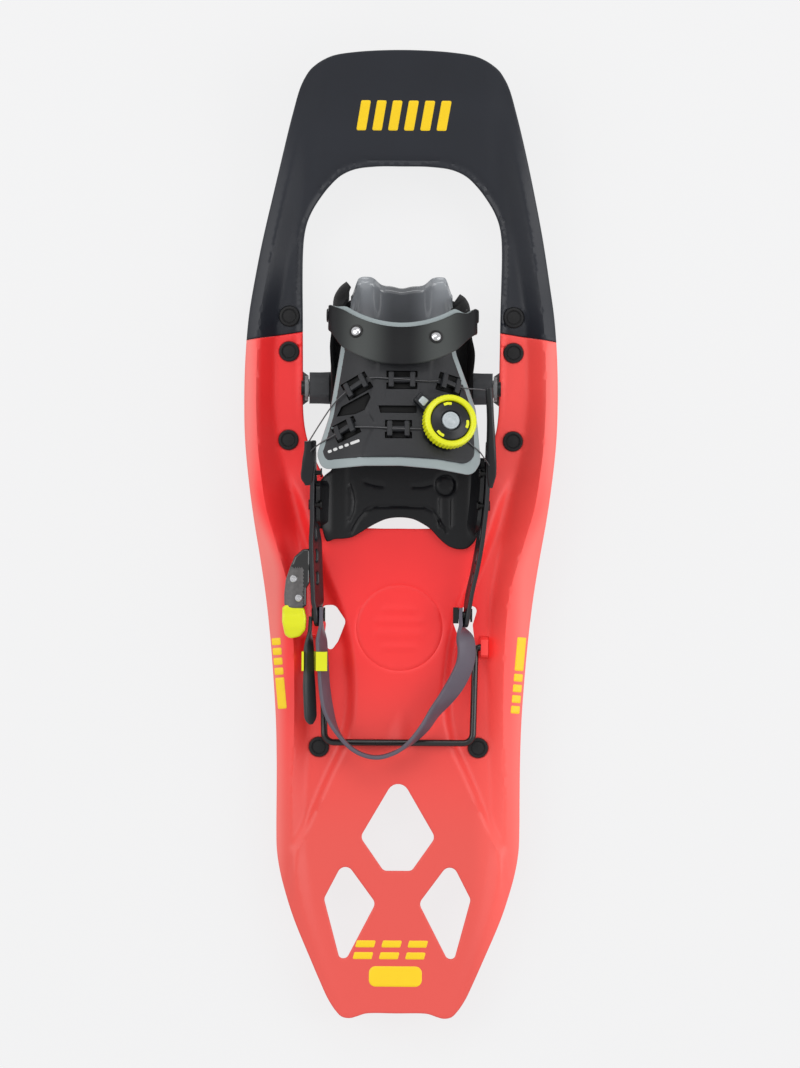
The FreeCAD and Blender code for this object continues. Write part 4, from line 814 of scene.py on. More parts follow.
def deck_z(x, y):
    """The deck's upper face without its small features."""
    from_middle = np.abs(x)
    foot, height = ridge_foot(y), ridge_height(y)
    u = half_width(y) - from_middle
    ridge = soft_min(height - ridge_drop(y) * (foot - u) / foot,
                     height * (1 - (u - foot) / ridge_run(y)), 0.7)
    pad = pad_height(y) * (1 - smooth((from_middle - pad_width(y)) / PAD_SLOPE))
    z = FLOOR + soft_max(ridge, 0.0, 0.9) + pad
    # the nose sweeps up, the tail a little
    z = z + np.where(y > 145, 47.0 * (np.maximum(y - 145, 0) / 160.0) ** 2, 0.0)
    z = z + 3.0 * smooth((y - 205) / 45.0) * (1 - smooth((from_middle - 50) / 16.0))
    return z + np.where(y < -225, 4.0 * (np.maximum(-225 - y, 0) / 80.0) ** 2, 0.0)


outline = np.array(smooth_curve(
    TAIL[::-1] + [(w, y) for y, w in reversed(OUTLINE)] + NOSE
    + [(-x, y) for x, y in reversed(NOSE[:-1])] + [(-w, y) for y, w in OUTLINE]
    + [(-x, y) for x, y in TAIL[:-1]], True, 1.7))
opening = np.array(smooth_curve(
    OPENING + [(0.0, 3.4)] + [(-x, y) for x, y in reversed(OPENING[1:])], True, 1.5))
opening_tree = point_tree(split(list(opening), 0.5))


def deck_top(x, y):
    x, y = np.asarray(x, float), np.asarray(y, float)
    z = deck_z(x, y)
    # raised lip and groove around the opening
    d = np.array([nearest(opening_tree, a, b) for a, b in zip(x, y)])
    lip = (1 - smooth((d - 1.8) / 1.6)) * smooth((y - 60) / 40.0)
    groove = smooth((d - 2.0) / 1.4) * (1 - smooth((d - 4.2) / 1.8)) * smooth((y - 100) / 30.0)
    z = z + 1.1 * lip - 0.5 * groove
    # seats under the rivet heads
    for cx, cy in RIVETS:
        r = np.hypot(x - cx, y - cy)
        z = np.where(r < RIVET_SEAT, SEAT_Z, z)
        z = z + np.where(r >= RIVET_SEAT, 0.5 * bell((r - 7.6) / 0.7), 0.0)
    # seats under the lift brackets
    for s in (-1, 1):
        z = np.where((np.abs(x - s * 53.2) < 3.2) & (np.abs(y + 71.0) < 6.9), SEAT_Z, z)
    # round medallion with plain tread bars
    r = np.hypot(x, y - MEDALLION_Y)
    z = z - 0.55 * bell((r - 27.2) / 0.75) + 0.22 * bell((r - 25.4) / 0.9)
    for cy, reach in TREAD_BARS:
        along = 1 - smooth((np.abs(x) - reach) / 0.9)
        z = z + 0.55 * along * (1 - smooth((np.abs(y - cy) - 1.5) / 0.9))
    # spine at the back of the pad
    t = np.clip((-109.0 - y) / 19.0, 0, 1)
    fade = 1 - smooth((-130.0 - y) / 16.0)
    z = z + 2.0 * t * fade * np.clip(1 - np.abs(x - 1.5) / (1.5 + 8.0 * t), 0, 1)
    for s in (-1, 1):
        # shallow crease running out to the rear corner
        crease = s * (27.0 + (-128.0 - y) * 0.50)
        shown = smooth((-130.0 - y) / 8.0) * (1 - smooth((-196.0 - y) / 12.0))
        z = z + 0.35 * shown * bell((x - crease) / 0.9)
        # shallow groove beside the medallion
        groove = s * (33.0 + 12.0 * smooth((y + 75.0) / 60.0))
        shown = smooth((y + 80.0) / 20.0) * (1 - smooth((y + 22.0) / 12.0))
        z = z - 0.3 * shown * bell((x - groove - s * 2.0) / 0.8)
    return z


def seam_y(x):
    """The line where nose and tail mouldings meet."""
    return 127.0 - (abs(x) - 62.0) * (5.7 / 36.0)


def half_deck(front):
    """Outline and opening joined into one closed loop on one side of the seam."""
    gap = 0.04 if front else -0.04

    def kept(p):
        seam = seam_y(p[0]) + gap
        return p[1] > seam if front else p[1] < seam

    def cut(a, b):
        steps = ((a[0] + (b[0] - a[0]) * t, a[1] + (b[1] - a[1]) * t)
                 for t in np.linspace(0, 1, 401))
        return next((q for q in steps if kept(q)), b)

    def run(loop):
        points = [tuple(p) for p in loop]
        n = len(points)
        flags = [kept(p) for p in points]
        start = next(i for i in range(n) if flags[i] and not flags[i - 1])
        out, i = [], start
        while flags[i % n]:
            out.append(points[i % n])
            i += 1
        return [cut(points[start - 1], out[0])] + out + [cut(points[i % n], out[-1])]

    outer, inner = run(outline), run(opening)
    if (outer[-1][0] > 0) != (inner[0][0] > 0):
        inner = inner[::-1]
    return split(outer + inner, 2.2)


def deck_lines(front, y_start, y_end):
    """Lines the mesh follows: the ridge crests and the rims of the rivet seats."""
    crests = [[(s * float(half_width(y) - ridge_foot(y)), y)
               for y in np.arange(y_start, y_end, 2.2)] for s in (-1, 1)]
    return crests + [circle_line(cx, cy, r) for cx, cy in RIVETS
                     for r in RIVET_SEAT_RINGS if (cy > seam_y(cx)) == front]


def build_deck(name, node, mat, loops, lines):
    data = sheet_data(loops, deck_top, thick=3.0, spacing=2.1, edge=0.9, extra=lines)
    return build(name, data, "deck", mat, sharp=42, replaces=node, recalc=False)


holes = [rounded(CENTRE_HOLE, CENTRE_HOLE_RADII, step=1.8)]
for corners, radii in ((SIDE_HOLE, SIDE_HOLE_RADII), (EAR_HOLE, EAR_HOLE_RADII)):
    for s in (1, -1):
        holes.append(rounded([(x * s, y) for x, y in corners], radii, step=1.8))
medallion_lines = [circle_line(0, MEDALLION_Y, r, 90) for r in (26.2, 27.2, 28.2)]
bracket_lines = []
for s in (-1, 1):
    for e in (0.0, 0.06):
        box = rectangle(s * (50.03 - e), s * (56.37 + e), -77.87 - e, -64.13 + e)
        bracket_lines.append(box + box[:1])
build_deck("tail_deck_moulding", "tail_deck", "deck_red", [half_deck(False)] + holes,
           deck_lines(False, -290.0, 119.0) + medallion_lines + bracket_lines)
nose_mesh = build_deck("nose_deck_moulding", "nose_deck", "nose_black", [half_deck(True)],
                       deck_lines(True, 127.0, 296.0))


def fit_nose(obj):
    """Draws the front edge of the nose back a little and narrows its left shoulder."""
    for vertex in obj.data.vertices:
        x, y = vertex.co.x / MM, vertex.co.y / MM
        if x < 0:
            vertex.co.x *= 1 - 0.030 * float(smooth((y - 140.0) / 105.0))
        vertex.co.y -= 4.4 * MM * float(smooth((y - 268.0) / 34.0))
    obj.data.update()


fit_nose(nose_mesh)

# ======================================================== foot platform
PLATFORM_LOW = 30.55
PLATFORM_TOP = 34.55
PLATFORM = [  # x, y, clockwise from the front
    (0, 147), (20, 148), (34, 146), (41, 140), (43.6, 128), (44.2, 110), (44.4, 90),
    (44.8, 70), (46.6, 54), (50.4, 43), (52.2, 34), (51.9, 22), (51.0, 12), (49.6, 3),
    (46.8, -4.5), (42, -8.8), (36, -9.2), (30.5, -7.4), (25, -3.0), (18.9, 3.4), (14, 6.6),
    (8, 9.4), (0, 10.4), (-8.4, 9.4), (-15.4, 6.4), (-20.6, 3.4), (-25.4, 0.4),
    (-30.0, -2.2), (-35.4, -3.2), (-41.4, -3.6), (-45.8, -5.0), (-48.6, 2), (-50.4, 12),
    (-51.9, 24), (-51.4, 31), (-47.6, 36.4), (-43.2, 40.4), (-42.2, 47), (-43.6, 58),
    (-44.4, 70), (-44.4, 90), (-44.2, 110), (-43.6, 128), (-41, 140), (-34, 146), (-20, 148)]
KNOB = (28.4, 31.0)
KNOB_GROOVE = 6.3
STEM_X = (-3.6, 3.6)  # the two grooves behind the knob, from its middle
# grooves in the platform, x and y
ARCH = [(-31.0, 0.5), (-27.0, 8.0), (-21.5, 14.6), (-16.0, 17.0), (0.0, 17.4), (16.0, 17.0),
        (21.0, 14.2), (26.0, 6.0), (29.0, 1.0)]
LEFT_ARC = [(-31.6, 31.0), (-29.8, 25.6), (-28.9, 20.0), (-29.6, 14.0), (-31.9, 8.4)]
SHORT_GROOVES = ([(-22.0, 32.5), (-16.0, 30.6), (-11.0, 30.2)],
                 [(8.0, 29.8), (14.0, 29.8), (19.6, 31.2)])


def platform_top(x, y):
    z = np.full(x.shape, PLATFORM_TOP)
    # shallow tread pad in front of the arch
    arch_y = np.interp(x, [p[0] for p in ARCH], [p[1] for p in ARCH])
    tread = smooth((y - arch_y - 1.0) / 1.2) * (1 - smooth((np.abs(x) - 33.0) / 1.2))
    z = z + 0.6 * tread * (1 - smooth((y - 73.5) / 1.2))
    z = z - 0.8 * bell(line_distance(x, y, ARCH) / 0.9)
    z = z - 0.7 * bell(line_distance(x, y, LEFT_ARC) / 0.8)
    for groove in SHORT_GROOVES:
        z = z - 0.6 * bell(line_distance(x, y, groove) / 0.9)
    r = np.hypot(x - KNOB[0], y - KNOB[1])
    z = z - 0.8 * bell((r - KNOB_GROOVE) / 0.7) + 0.3 * (1 - smooth((r - 4.6) / 0.8))
    for offset in STEM_X:
        stem = smooth((y - 2.0) / 3.0) * (1 - smooth((y - 22.4) / 1.6))
        z = z - 0.7 * bell((x - KNOB[0] - offset) / 0.75) * stem
    # the sides curl up towards the walls
    curl = smooth((np.abs(x) - 41.5) / 9.0) * smooth((50.0 - y) / 12.0)
    return z + 3.2 * curl * smooth((y + 6.0) / 10.0)


platform_lines = flanks(ARCH, (-1.5, -0.75, 0.0, 0.75, 1.5))
platform_lines += flanks(LEFT_ARC, (-1.3, -0.6, 0.0, 0.6, 1.3), 1.1)
for groove in SHORT_GROOVES:
    platform_lines += flanks(groove, (-1.3, -0.6, 0.0, 0.6, 1.3), 1.3)
platform_lines += [circle_line(*KNOB, r) for r in (4.9, 5.6, KNOB_GROOVE, 7.0, 7.7)]
platform_lines += [[(KNOB[0] + s + e, y) for y in np.arange(1.0, 23.4, 1.6)]
                   for s in STEM_X for e in (-1.2, -0.6, 0.0, 0.6, 1.2)]
plate = sheet_data([smooth_curve(PLATFORM, True, 1.6)], platform_top, spacing=2.0, edge=0.9,
                   low=flat(PLATFORM_LOW), extra=platform_lines)

# centre line of each heel arm: y, x, z
ARM_LEFT = [(58, -54.2, 52.0), (40, -54.4, 50.6), (20, -54.4, 48.4), (-2, -53.8, 46.2),
            (-24, -53.0, 44.2), (-42, -52.2, 43.0), (-50.7, -51.9, 42.5), (-60, -51.8, 42.5)]
ARM_RIGHT = [(58, 54.6, 52.0), (40, 54.4, 50.6), (20, 53.4, 48.4), (0, 51.2, 46.2),
             (-20, 48.0, 44.4), (-38, 44.2, 43.0), (-50.7, 42.4, 42.5), (-60, 41.4, 42.5)]
left_arm_x, left_arm_z = (sampled(ARM_LEFT, c) for c in (1, 2))
right_arm_x, right_arm_z = (sampled(ARM_RIGHT, c) for c in (1, 2))


def wall_data(side, arm_x, y_front, y_back):
    """Upright wall inside a heel arm, thicker towards its foot."""
    rows, base = 34, 33.0
    verts, faces = [], []
    for i in range(rows):
        t = i / (rows - 1)
        y = y_front + (y_back - y_front) * t
        top = 49.5 - 5.5 * t - 6.5 * smooth((t - 0.82) / 0.18) - 5.0 * smooth((0.14 - t) / 0.14)
        x_outer = abs(arm_x(y)) - 1.75
        outer, inner = [], []
        for k in range(9):
            q = k / 8.0
            z = base + (top - base) * q
            outer.append((side * x_outer, y, z))
            inner.append((side * (x_outer - 2.4 - 7.6 * (1 - q) ** 1.7), y,
                          z if q < 1 else z - 0.8))
        verts += outer + inner
    for i in range(rows - 1):
        a, b = i * 18, (i + 1) * 18
        for k in range(8):
            faces.append((a + k, b + k, b + k + 1, a + k + 1))
            faces.append((a + 9 + k, a + 10 + k, b + 10 + k, b + 9 + k))
        faces.append((a + 8, b + 8, b + 17, a + 17))
        faces.append((a, a + 9, b + 9, b))
    end = (rows - 1) * 18
    faces.append(tuple(range(9)) + tuple(17 - k for k in range(9)))
    faces.append(tuple(end + 9 + k for k in range(9)) + tuple(end + 8 - k for k in range(9)))
    return verts, faces


# the toe cord's wraps, one at each side of the platform
CORD_Y = 91.5
cord_z = max(c[2] for c in NODES["toe_cord"].bound_box) / MM - 5.3


def wrap_top(x, y):
    return cord_z + 2.1 + 3.4 * smooth((9.4 - np.abs(y - CORD_Y)) / 5.0)


wraps = []
for s in (-1, 1):
    corners = rectangle(s * 44.9, s * 57.4, CORD_Y - 9.7, CORD_Y + 9.7)[::s]
    lines = [[(s * x, CORD_Y + d) for x in np.arange(45.4, 57.2, 1.8)]
             for d in (-8.6, -6.8, -5.0, 5.0, 6.8, 8.6)]
    wraps.append(sheet_data([rounded(corners, 0.8, seg=3)], wrap_top, spacing=2.4, edge=0.5,
                            low=flat(cord_z + 0.6), extra=lines))
build("toe_cord_wraps", join(*wraps), "binding", "cord_rubber", sharp=45)
build("platform_shell", join(plate, wall_data(-1, left_arm_x, 33.0, 3.0),
                             wall_data(1, right_arm_x, 48.0, -1.0)),
      "binding", "platform_black", sharp=38, replaces="foot_platform")


# ======================================================== toe cup
def cup_point(u, t):
    """u runs across the cup, t from its rear edge forward. It has two front lobes."""
    c = 2 * u - 1
    x = c * (37.0 - 5.2 * smooth(t * 1.3))
    lobe = math.exp(-(abs(abs(x - 0.6) - 22.8) / 7.6) ** 3.4)
    front = 155.4 + 5.2 * lobe - 1.5 * bell(x / 5.0) - 7.5 * smooth((abs(c) - 0.84) / 0.16)
    y = 127.0 + (front - 127.0) * t
    z = PLATFORM_TOP + 3.0 + (9.0 + 7.0 * lobe) * t ** 1.35
    z += 3.0 * lobe * math.sin(math.pi * min(1.0, t * 1.02))
    z += 5.0 * abs(c) ** 3 * (1 - 0.5 * t)
    z -= 3.4 * smooth((t - 0.84) / 0.16) ** 1.6
    return (x, y, z)


cup = build("toe_cup_shell", slab_data(cup_point, 76, 26, thick=2.9), "binding", "cup_grey",
            sharp=60, replaces="toe_cup")
bevel(cup, 0.9, segments=3, angle=40)


# ======================================================== heel arms
def arm_half_height(y):
    return 8.5 - 1.0 * (58 - y) / 109.0


def build_arm(side, arm_x, arm_z, lean_front, lean_gain, end_name):
    """Flat bar drawn in the YZ plane with three slots, then leaned and bent to its line."""
    ys = np.arange(58.0, -50.8, -2.0)
    top = [(y, float(arm_z(y)) + arm_half_height(y)) for y in ys]
    low = [(y, float(arm_z(y)) - arm_half_height(y)) for y in ys[::-1]]
    end = [(-50.7 - 7.6 * math.sin(a), 42.5 + 7.5 * math.cos(a))
           for a in np.linspace(0.12, math.pi - 0.12, 14)]
    loops = [split(top + end + low, 2.0)]
    for slot_y, slot_z in ((0, 46.2), (-14, 45.0), (-28, 44.0)):
        loops.append([(slot_y + 2 * math.copysign(1, math.cos(a)) + 2.4 * math.cos(a),
                       slot_z + 2.4 * math.sin(a))
                      for a in np.linspace(0.05, 2 * math.pi + 0.05, 24, endpoint=False)])

    def outer_face(y, z):
        # a shallow channel runs along the middle of the bar
        d = np.abs(z - arm_z(y)) / arm_half_height(y)
        return 2.8 - 0.7 * (1 - smooth((d - 0.42) / 0.22)) * smooth((y + 44.0) / 8.0)

    verts, faces = sheet_data(loops, outer_face, spacing=1.7, edge=0.7, low=flat(0.0))
    bent = []
    for y, z, depth in verts:
        lean = lean_front + lean_gain * smooth((12 - y) / 20.0) * smooth((y + 50.0) / 8.0)
        offset = (z - arm_z(y) - 2.0) * math.tan(math.radians(lean)) * smooth((60 - y) / 44.0)
        bent.append((side * (abs(arm_x(y)) + offset - (depth - 1.4)), y, z))
    build("heel_arm_bar_" + end_name, (bent, faces), "binding", "arm_black",
          replaces="heel_arm_" + end_name)


build_arm(-1, left_arm_x, left_arm_z, 8, 12, "left")
build_arm(1, right_arm_x, right_arm_z, 7, 3, "right")

# lace guides: slim tapered bars on the front of the arms, x, y, z
GUIDE_LEFT = [(-57.4, 57.4, 63.2), (-57.0, 50, 62.2), (-57.6, 42, 60.8), (-58.2, 36, 58.6),
              (-57.4, 31.5, 55.4)]
GUIDE_RIGHT = [(54.6, 91.0, 64.0), (55.4, 80, 63.6), (56.0, 66, 63.2), (56.4, 52, 62.6),
               (56.8, 42, 61.0), (56.6, 34, 58.0), (56.2, 30.5, 55.6)]


def guide_section_left(s):
    thick = 5.2 + 2.6 * smooth(s / 0.45) - 2.8 * smooth((s - 0.8) / 0.2)
    return rounded_section(5.2, thick, 1.6)


def guide_section_right(s):
    thick = 4.4 + 1.6 * smooth((s - 0.25) / 0.4) - 2.6 * smooth((s - 0.85) / 0.15)
    return rounded_section(6.8 - 1.6 * smooth((s - 0.6) / 0.3), thick, 1.6)


for s, end_name, path, section in ((-1, "left", GUIDE_LEFT, guide_section_left),
                                   (1, "right", GUIDE_RIGHT, guide_section_right)):
    foot = [(s * 57.3, 56.0, 57.6), (s * 57.6, 46.0, 57.0), (s * 57.4, 35.0, 55.6)]
    build("guide_" + end_name,
          join(sweep_data(smooth_curve(path, False, 1.0), section),
               sweep_data(foot, rounded_section(9.0, 1.8, 0.6, 3))),
          "binding", "dial_black", sharp=50, replaces="lace_guide_" + end_name)

# ======================================================== wings beside the toes
# foot line of each wing, x and y
WING_REAR_Y = (104.0, 90.0, 76.0)
WING_LEFT = [(-34.6, 157.6), (-38.6, 154.4), (-42.2, 148.5), (-43.1, 140.0), (-43.2, 130.0),
             (-43.3, 118.0), (-43.3, 104.0), (-43.4, 90.0), (-43.6, 76.0)]
WING_RIGHT = [(36.4, 150.6), (39.6, 148.4), (41.8, 145.2), (42.8, 141.0), (43.2, 132.0),
              (43.3, 120.0), (43.3, 104.0), (43.4, 90.0), (43.6, 76.0)]
# run fraction from the front, height of the upper edge
WING_TOP_REAR = [(0.3, 62.0), (0.52, 59.0), (0.72, 54.0), (1.0, 46.0)]
WING_TOP_LEFT = [(0, 60.5), (0.1, 63.0)] + WING_TOP_REAR
WING_TOP_RIGHT = [(0, 58.5), (0.1, 61.0)] + WING_TOP_REAR
# run fraction from the front, inward lean of the upper edge
WING_LEAN_LEFT = [(0, 3.6), (0.06, 6.8), (0.14, 8.6), (0.22, 6.4), (0.34, 1.6), (0.52, -1.0),
                  (0.75, 0.6), (1.0, 1.5)]
WING_LEAN_RIGHT = [(0, 7.0), (0.08, 11.0), (0.17, 9.5), (0.28, 2.4), (0.40, -0.4),
                   (0.54, -2.4), (0.75, -0.8), (1.0, 1.0)]
del WING_REAR_Y


def wing_data(side, foot_line, tops, leans):
    """Thin wall that stands on its foot line and leans inward."""
    base = resample(smooth_curve(foot_line, False, 1.0), 76)
    t = np.gradient(base, axis=0)
    t /= np.linalg.norm(t, axis=1)[:, None]
    normal = np.stack([-t[:, 1], t[:, 0]], axis=1)
    if normal[40, 0] * side < 0:
        normal = -normal
    rows = 12
    outer, inner = [], []
    for i, (x, y) in enumerate(base):
        s = i / (len(base) - 1)
        top = station_value(tops, s, 1)
        lean = station_value(leans, s, 1)
        low = PLATFORM_TOP - 0.6
        if y >= 148:
            low = PLATFORM_TOP + 2.0 + 6.0 * smooth((y - 148) / 8.0)
        nx, ny = normal[i]
        for k in range(rows + 1):
            q = k / rows
            z = low + (top - low) * q
            inward = lean * q ** 1.4 - 0.5 * math.sin(math.pi * q)
            thick = 2.3 if q < 0.94 else 1.7
            px, py = x - nx * inward, y - ny * inward
            outer.append((px + nx * 0.3, py + ny * 0.3, z))
            inner.append((px - nx * (thick - 0.3), py - ny * (thick - 0.3),
                          z - (0.6 if k == rows else 0)))
    n, w = len(outer), rows + 1
    faces = []
    for i in range(len(base) - 1):
        for k in range(rows):
            a = i * w + k
            faces.append((a, a + w, a + w + 1, a + 1))
            faces.append((n + a, n + a + 1, n + a + w + 1, n + a + w))
        a = i * w + rows
        faces.append((a, a + w, n + a + w, n + a))
        a = i * w
        faces.append((a, n + a, n + a + w, a + w))
    for i in (0, len(base) - 1):
        end = [i * w + k for k in range(w)] + [n + i * w + k for k in range(rows, -1, -1)]
        faces.append(tuple(end if i == 0 else end[::-1]))
    return outer + inner, faces


for s, end_name, line, tops, leans in (
        (-1, "left", WING_LEFT, WING_TOP_LEFT, WING_LEAN_LEFT),
        (1, "right", WING_RIGHT, WING_TOP_RIGHT, WING_LEAN_RIGHT)):
    foot = [(s * 36.5, 134), (s * 43.2, 134), (s * 43.2, 82), (s * 36.5, 82)][::s]
    foot_plate = sheet_data([rounded(foot, 2.4)], flat(PLATFORM_TOP + 2.0), thick=2.0,
                            spacing=2.4, edge=0.5)
    build("wing_wall_" + end_name, join(wing_data(s, line, tops, leans), foot_plate),
          "binding", "harness_dark", sharp=45, replaces="wing_" + end_name)

# ======================================================== instep panel
# lace bridges: x, y, spin in degrees, length
BRIDGES = [(-27.4, 91.4, 30, 15), (-34.0, 64.2, 27, 14), (0.5, 95.2, 0, 17),
           (-1.4, 64.6, 0, 14.5), (30.2, 93.0, -16, 13.5)]
# panel corners (x, y); the radii follow the corners in reverse order
OVERLAY = [(-33.4, 125.0), (-36.4, 107.0), (-41.9, 73.0), (-48.4, 50.0), (-46.2, 45.0),
           (-22.0, 47.2), (0.0, 47.4), (22.0, 46.2), (40.0, 43.4), (45.8, 47.6), (45.2, 66.0),
           (43.6, 78.0), (38.8, 91.8), (32.0, 110.0), (29.6, 121.0), (18.0, 117.5),
           (0.0, 115.5), (-18.0, 117.5)]
OVERLAY_RADII = [0, 0, 0, 3, 0, 0, 6, 12, 7, 7, 0, 0, 0, 5, 5, 9, 0, 3]
LINING = [(-35.8, 127.0), (-38.8, 108.0), (-44.4, 73.0), (-52.0, 49.0), (-48.6, 39.4),
          (-22.0, 41.8), (0.0, 42.0), (22.0, 40.2), (44.6, 36.2), (49.6, 44.6), (48.2, 62.0),
          (46.4, 78.0), (41.4, 92.4), (34.4, 111.0), (31.8, 123.0), (18.0, 116.0),
          (0.0, 114.0), (-18.0, 116.0)]
LINING_RADII = [0, 0, 0, 3, 0, 0, 6, 12, 8, 7, 0, 0, 0, 7, 8, 9, 0, 3]
# left edge of the raised centre field, x and y
FIELD_EDGE = [(-13.0, 128.0), (-15.2, 104.0), (-18.2, 92.0), (-22.8, 78.0), (-16.4, 68.0),
              (-22.0, 56.0), (-25.0, 44.0)]
DIAL_X, DIAL_Y = 28.2, 67.6

overlay_loop = rounded(OVERLAY[::-1], OVERLAY_RADII, seg=8, step=1.3)
lining_loop = rounded(LINING[::-1], LINING_RADII, seg=8, step=1.3)
overlay_tree = point_tree(overlay_loop)


def instep_z(x, y):
    """The arched face of the panel, highest at the rear."""
    reach = 38.0 + (117 - y) * 0.158
    middle = 83.5 + 20.5 * smooth((117 - y) / 88.0)
    return middle - (14.5 + 0.10 * (117 - y)) * (np.abs(x) / reach) ** 3.2


# sunken pockets on both sides of every bridge, and two wider ones
pockets = []
for x, y, spin, length in BRIDGES:
    c, s = math.cos(math.radians(spin)), math.sin(math.radians(spin))
    for side in (-1, 1):
        quad = rectangle(-length / 2 - 1.0, length / 2 + 1.0, side * 1.7, side * 5.6)
        pockets.append([(x + c * a - s * b, y + s * a + c * b) for a, b in quad])
pockets.append([(-36.8, 78.4), (-20.2, 87.4), (-18.8, 84.2), (-22.4, 76.6), (-28.0, 74.0),
                (-39.6, 72.4)])
pockets.append([(-13.8, 79.2), (9.6, 79.2), (9.6, 74.8), (-12.6, 74.8)])
pockets = [counterclockwise(pocket) for pocket in pockets]


def pocket_depth(x, y, pocket):
    """Distance from a pocket's edge, positive inside."""
    d = np.full(np.shape(x), 1e9)
    for p, q in zip(pocket, np.roll(pocket, -1, axis=0)):
        e = (q - p) / np.linalg.norm(q - p)
        d = np.minimum(d, e[0] * (y - p[1]) - e[1] * (x - p[0]))
    return d


def overlay_top(x, y):
    z = instep_z(x, y)
    # the centre field stands slightly proud of the sides
    edge = np.interp(y, [p[1] for p in FIELD_EDGE[::-1]], [p[0] for p in FIELD_EDGE[::-1]])
    z = z - 0.9 * (1 - smooth((x - edge) / 1.3))
    z = z - 0.7 * smooth((x - 15.5 - (y - 60) * 0.06) / 1.3) * smooth((y - 86.0) / 4.0)
    for pocket in pockets:
        z = z - 2.0 * smooth((pocket_depth(x, y, pocket) + 0.1) / 0.6)
    # sloping seat of the dial
    r = np.hypot(x - DIAL_X, y - DIAL_Y)
    seat = 92.5 - 0.226 * (x - DIAL_X) - 0.2245 * (y - DIAL_Y)
    z = np.where(r < 15.0, np.minimum(z, seat), z)
    # a short raised rib on each side of the middle
    rib = bell((np.abs(x + 0.3) - 10.8) / 0.9)
    return z + 0.5 * rib * smooth((y - 82) / 3.0) * (1 - smooth((y - 92.0) / 3.0))


def lining_top(x, y):
    """Lies deeper where the overlay covers it."""
    covered = inside(x, y, [overlay_loop])
    d = np.array([nearest(overlay_tree, a, b) for a, b in zip(x, y)])
    return instep_z(x, y) - np.where(covered & (d > 1.3), 3.4, 1.25)


def edge_normal(p, q):
    return np.array([-(q - p)[1], (q - p)[0]]) / np.linalg.norm(q - p)


pocket_lines = []
for pocket in pockets:
    for offset in (0.1, -0.5):
        line = []
        for i in range(len(pocket)):
            p, q, r = pocket[i - 1], pocket[i], pocket[(i + 1) % len(pocket)]
            n1, n2 = edge_normal(p, q), edge_normal(q, r)
            line.append(q - (n1 + n2) / (1 + float(n1 @ n2)) * offset)
        line = [tuple(p) for p in split(line, 1.2)]
        pocket_lines.append(line + line[:1])
overlay_data = sheet_data([overlay_loop], overlay_top, thick=2.3, spacing=1.3, edge=0.9,
                          extra=pocket_lines)
overlay = build("instep_shell", overlay_data, "harness", "harness_black", sharp=32,
                replaces="instep_overlay", recalc=False)
# painted shade: the floors of the sunken pockets take a near-black material
overlay.data.materials.append(MATERIALS["pocket_shade_black"])
upper_count = len(overlay_data[0]) // 2
for face in overlay.data.polygons:
    if all(i < upper_count for i in face.vertices):
        centre = face.center / MM
        if any(float(pocket_depth(centre.x, centre.y, p)) > -0.06 for p in pockets):
            face.material_index = 1
build("instep_lining", sheet_data([lining_loop], lining_top, thick=2.4, spacing=1.6, edge=0.8),
      "harness", "trim_grey", sharp=50, replaces="instep_underlay", recalc=False)


# ======================================================== toe strap
def band_data(lift, thick, low=-1.0, high=1.0):
    """Band arched over the toes from left to right. low and high are its lower front and
    upper rear edges as fractions of its half width, lift its height along the normal."""
    rings = []
    for i in range(121):
        a = math.pi * i / 120
        rise = math.sin(a)
        c = math.cos(a)
        x = -46.4 * (math.copysign(abs(c) ** 0.86, c) if abs(c) > 1e-9 else 0.0)
        x *= 0.955 if x < 0 else 0.99
        z = 58.0 + 29.4 * max(0.0, rise) ** 0.92
        q = abs(x) / 46.7
        end = float(smooth((q - (0.74 if x < 0 else 0.70)) / 0.22))
        y = 117.6 + 17.0 * q ** 2.0 + (1.6 if x < 0 else -1.4) * end
        tilt = math.radians(20.0 * rise)
        nx, nz = -c * 0.72, max(0.02, rise)
        length = math.hypot(nx, nz)
        normal = Vector((nx / length * math.cos(tilt), math.sin(tilt),
                         nz / length * math.cos(tilt))).normalized()
        wide = Vector((0, -math.cos(tilt), math.sin(tilt)))
        wide = (wide - normal * wide.dot(normal)).normalized()
        half = (12.2 - 1.2 * rise) * (1 - 0.34 * end)
        top = high + 0.3 * rise ** 2
        bottom = low - (0.2 * rise - 0.2 * end if low < -1.0 else 0.0)
        centre = Vector((x, y, z)) + normal * lift
        middle = half * (top + bottom) / 2
        rings.append([
            tuple(centre + wide * (middle + w)
                  + normal * (t + 0.35 * (1 - ((middle + w) / half) ** 2)))
            for w, t in rounded_section(half * (top - bottom), thick, 1.0)])
    # straight ends down the sides
    first, last = ([(x, y, z - 7.5) for x, y, z in ring] for ring in (rings[0], rings[-1]))
    rings = [first] + rings + [last]
    return [p for ring in rings for p in ring], tube_faces(len(rings), len(first))


band = build("toe_band", band_data(0.2, 2.2), "harness", "toe_band", sharp=45,
             replaces="toe_strap")
build("toe_band_lining", band_data(-1.3, 1.0, low=-1.13, high=0.9), "harness", "trim_grey",
      sharp=45)


def on_top(obj, x, y):
    """Point, in millimetres, and upward normal of an object's upper side above (x, y)."""
    mesh = obj.data
    tree = BVHTree.FromPolygons([p.co for p in mesh.vertices],
                                [f.vertices for f in mesh.polygons])
    hit = tree.ray_cast(Vector((x * MM, y * MM, 0.3)), Vector((0, 0, -1)))
    normal = Vector(hit[1])
    return Vector(hit[0]) / MM, -normal if normal.z < 0 else normal


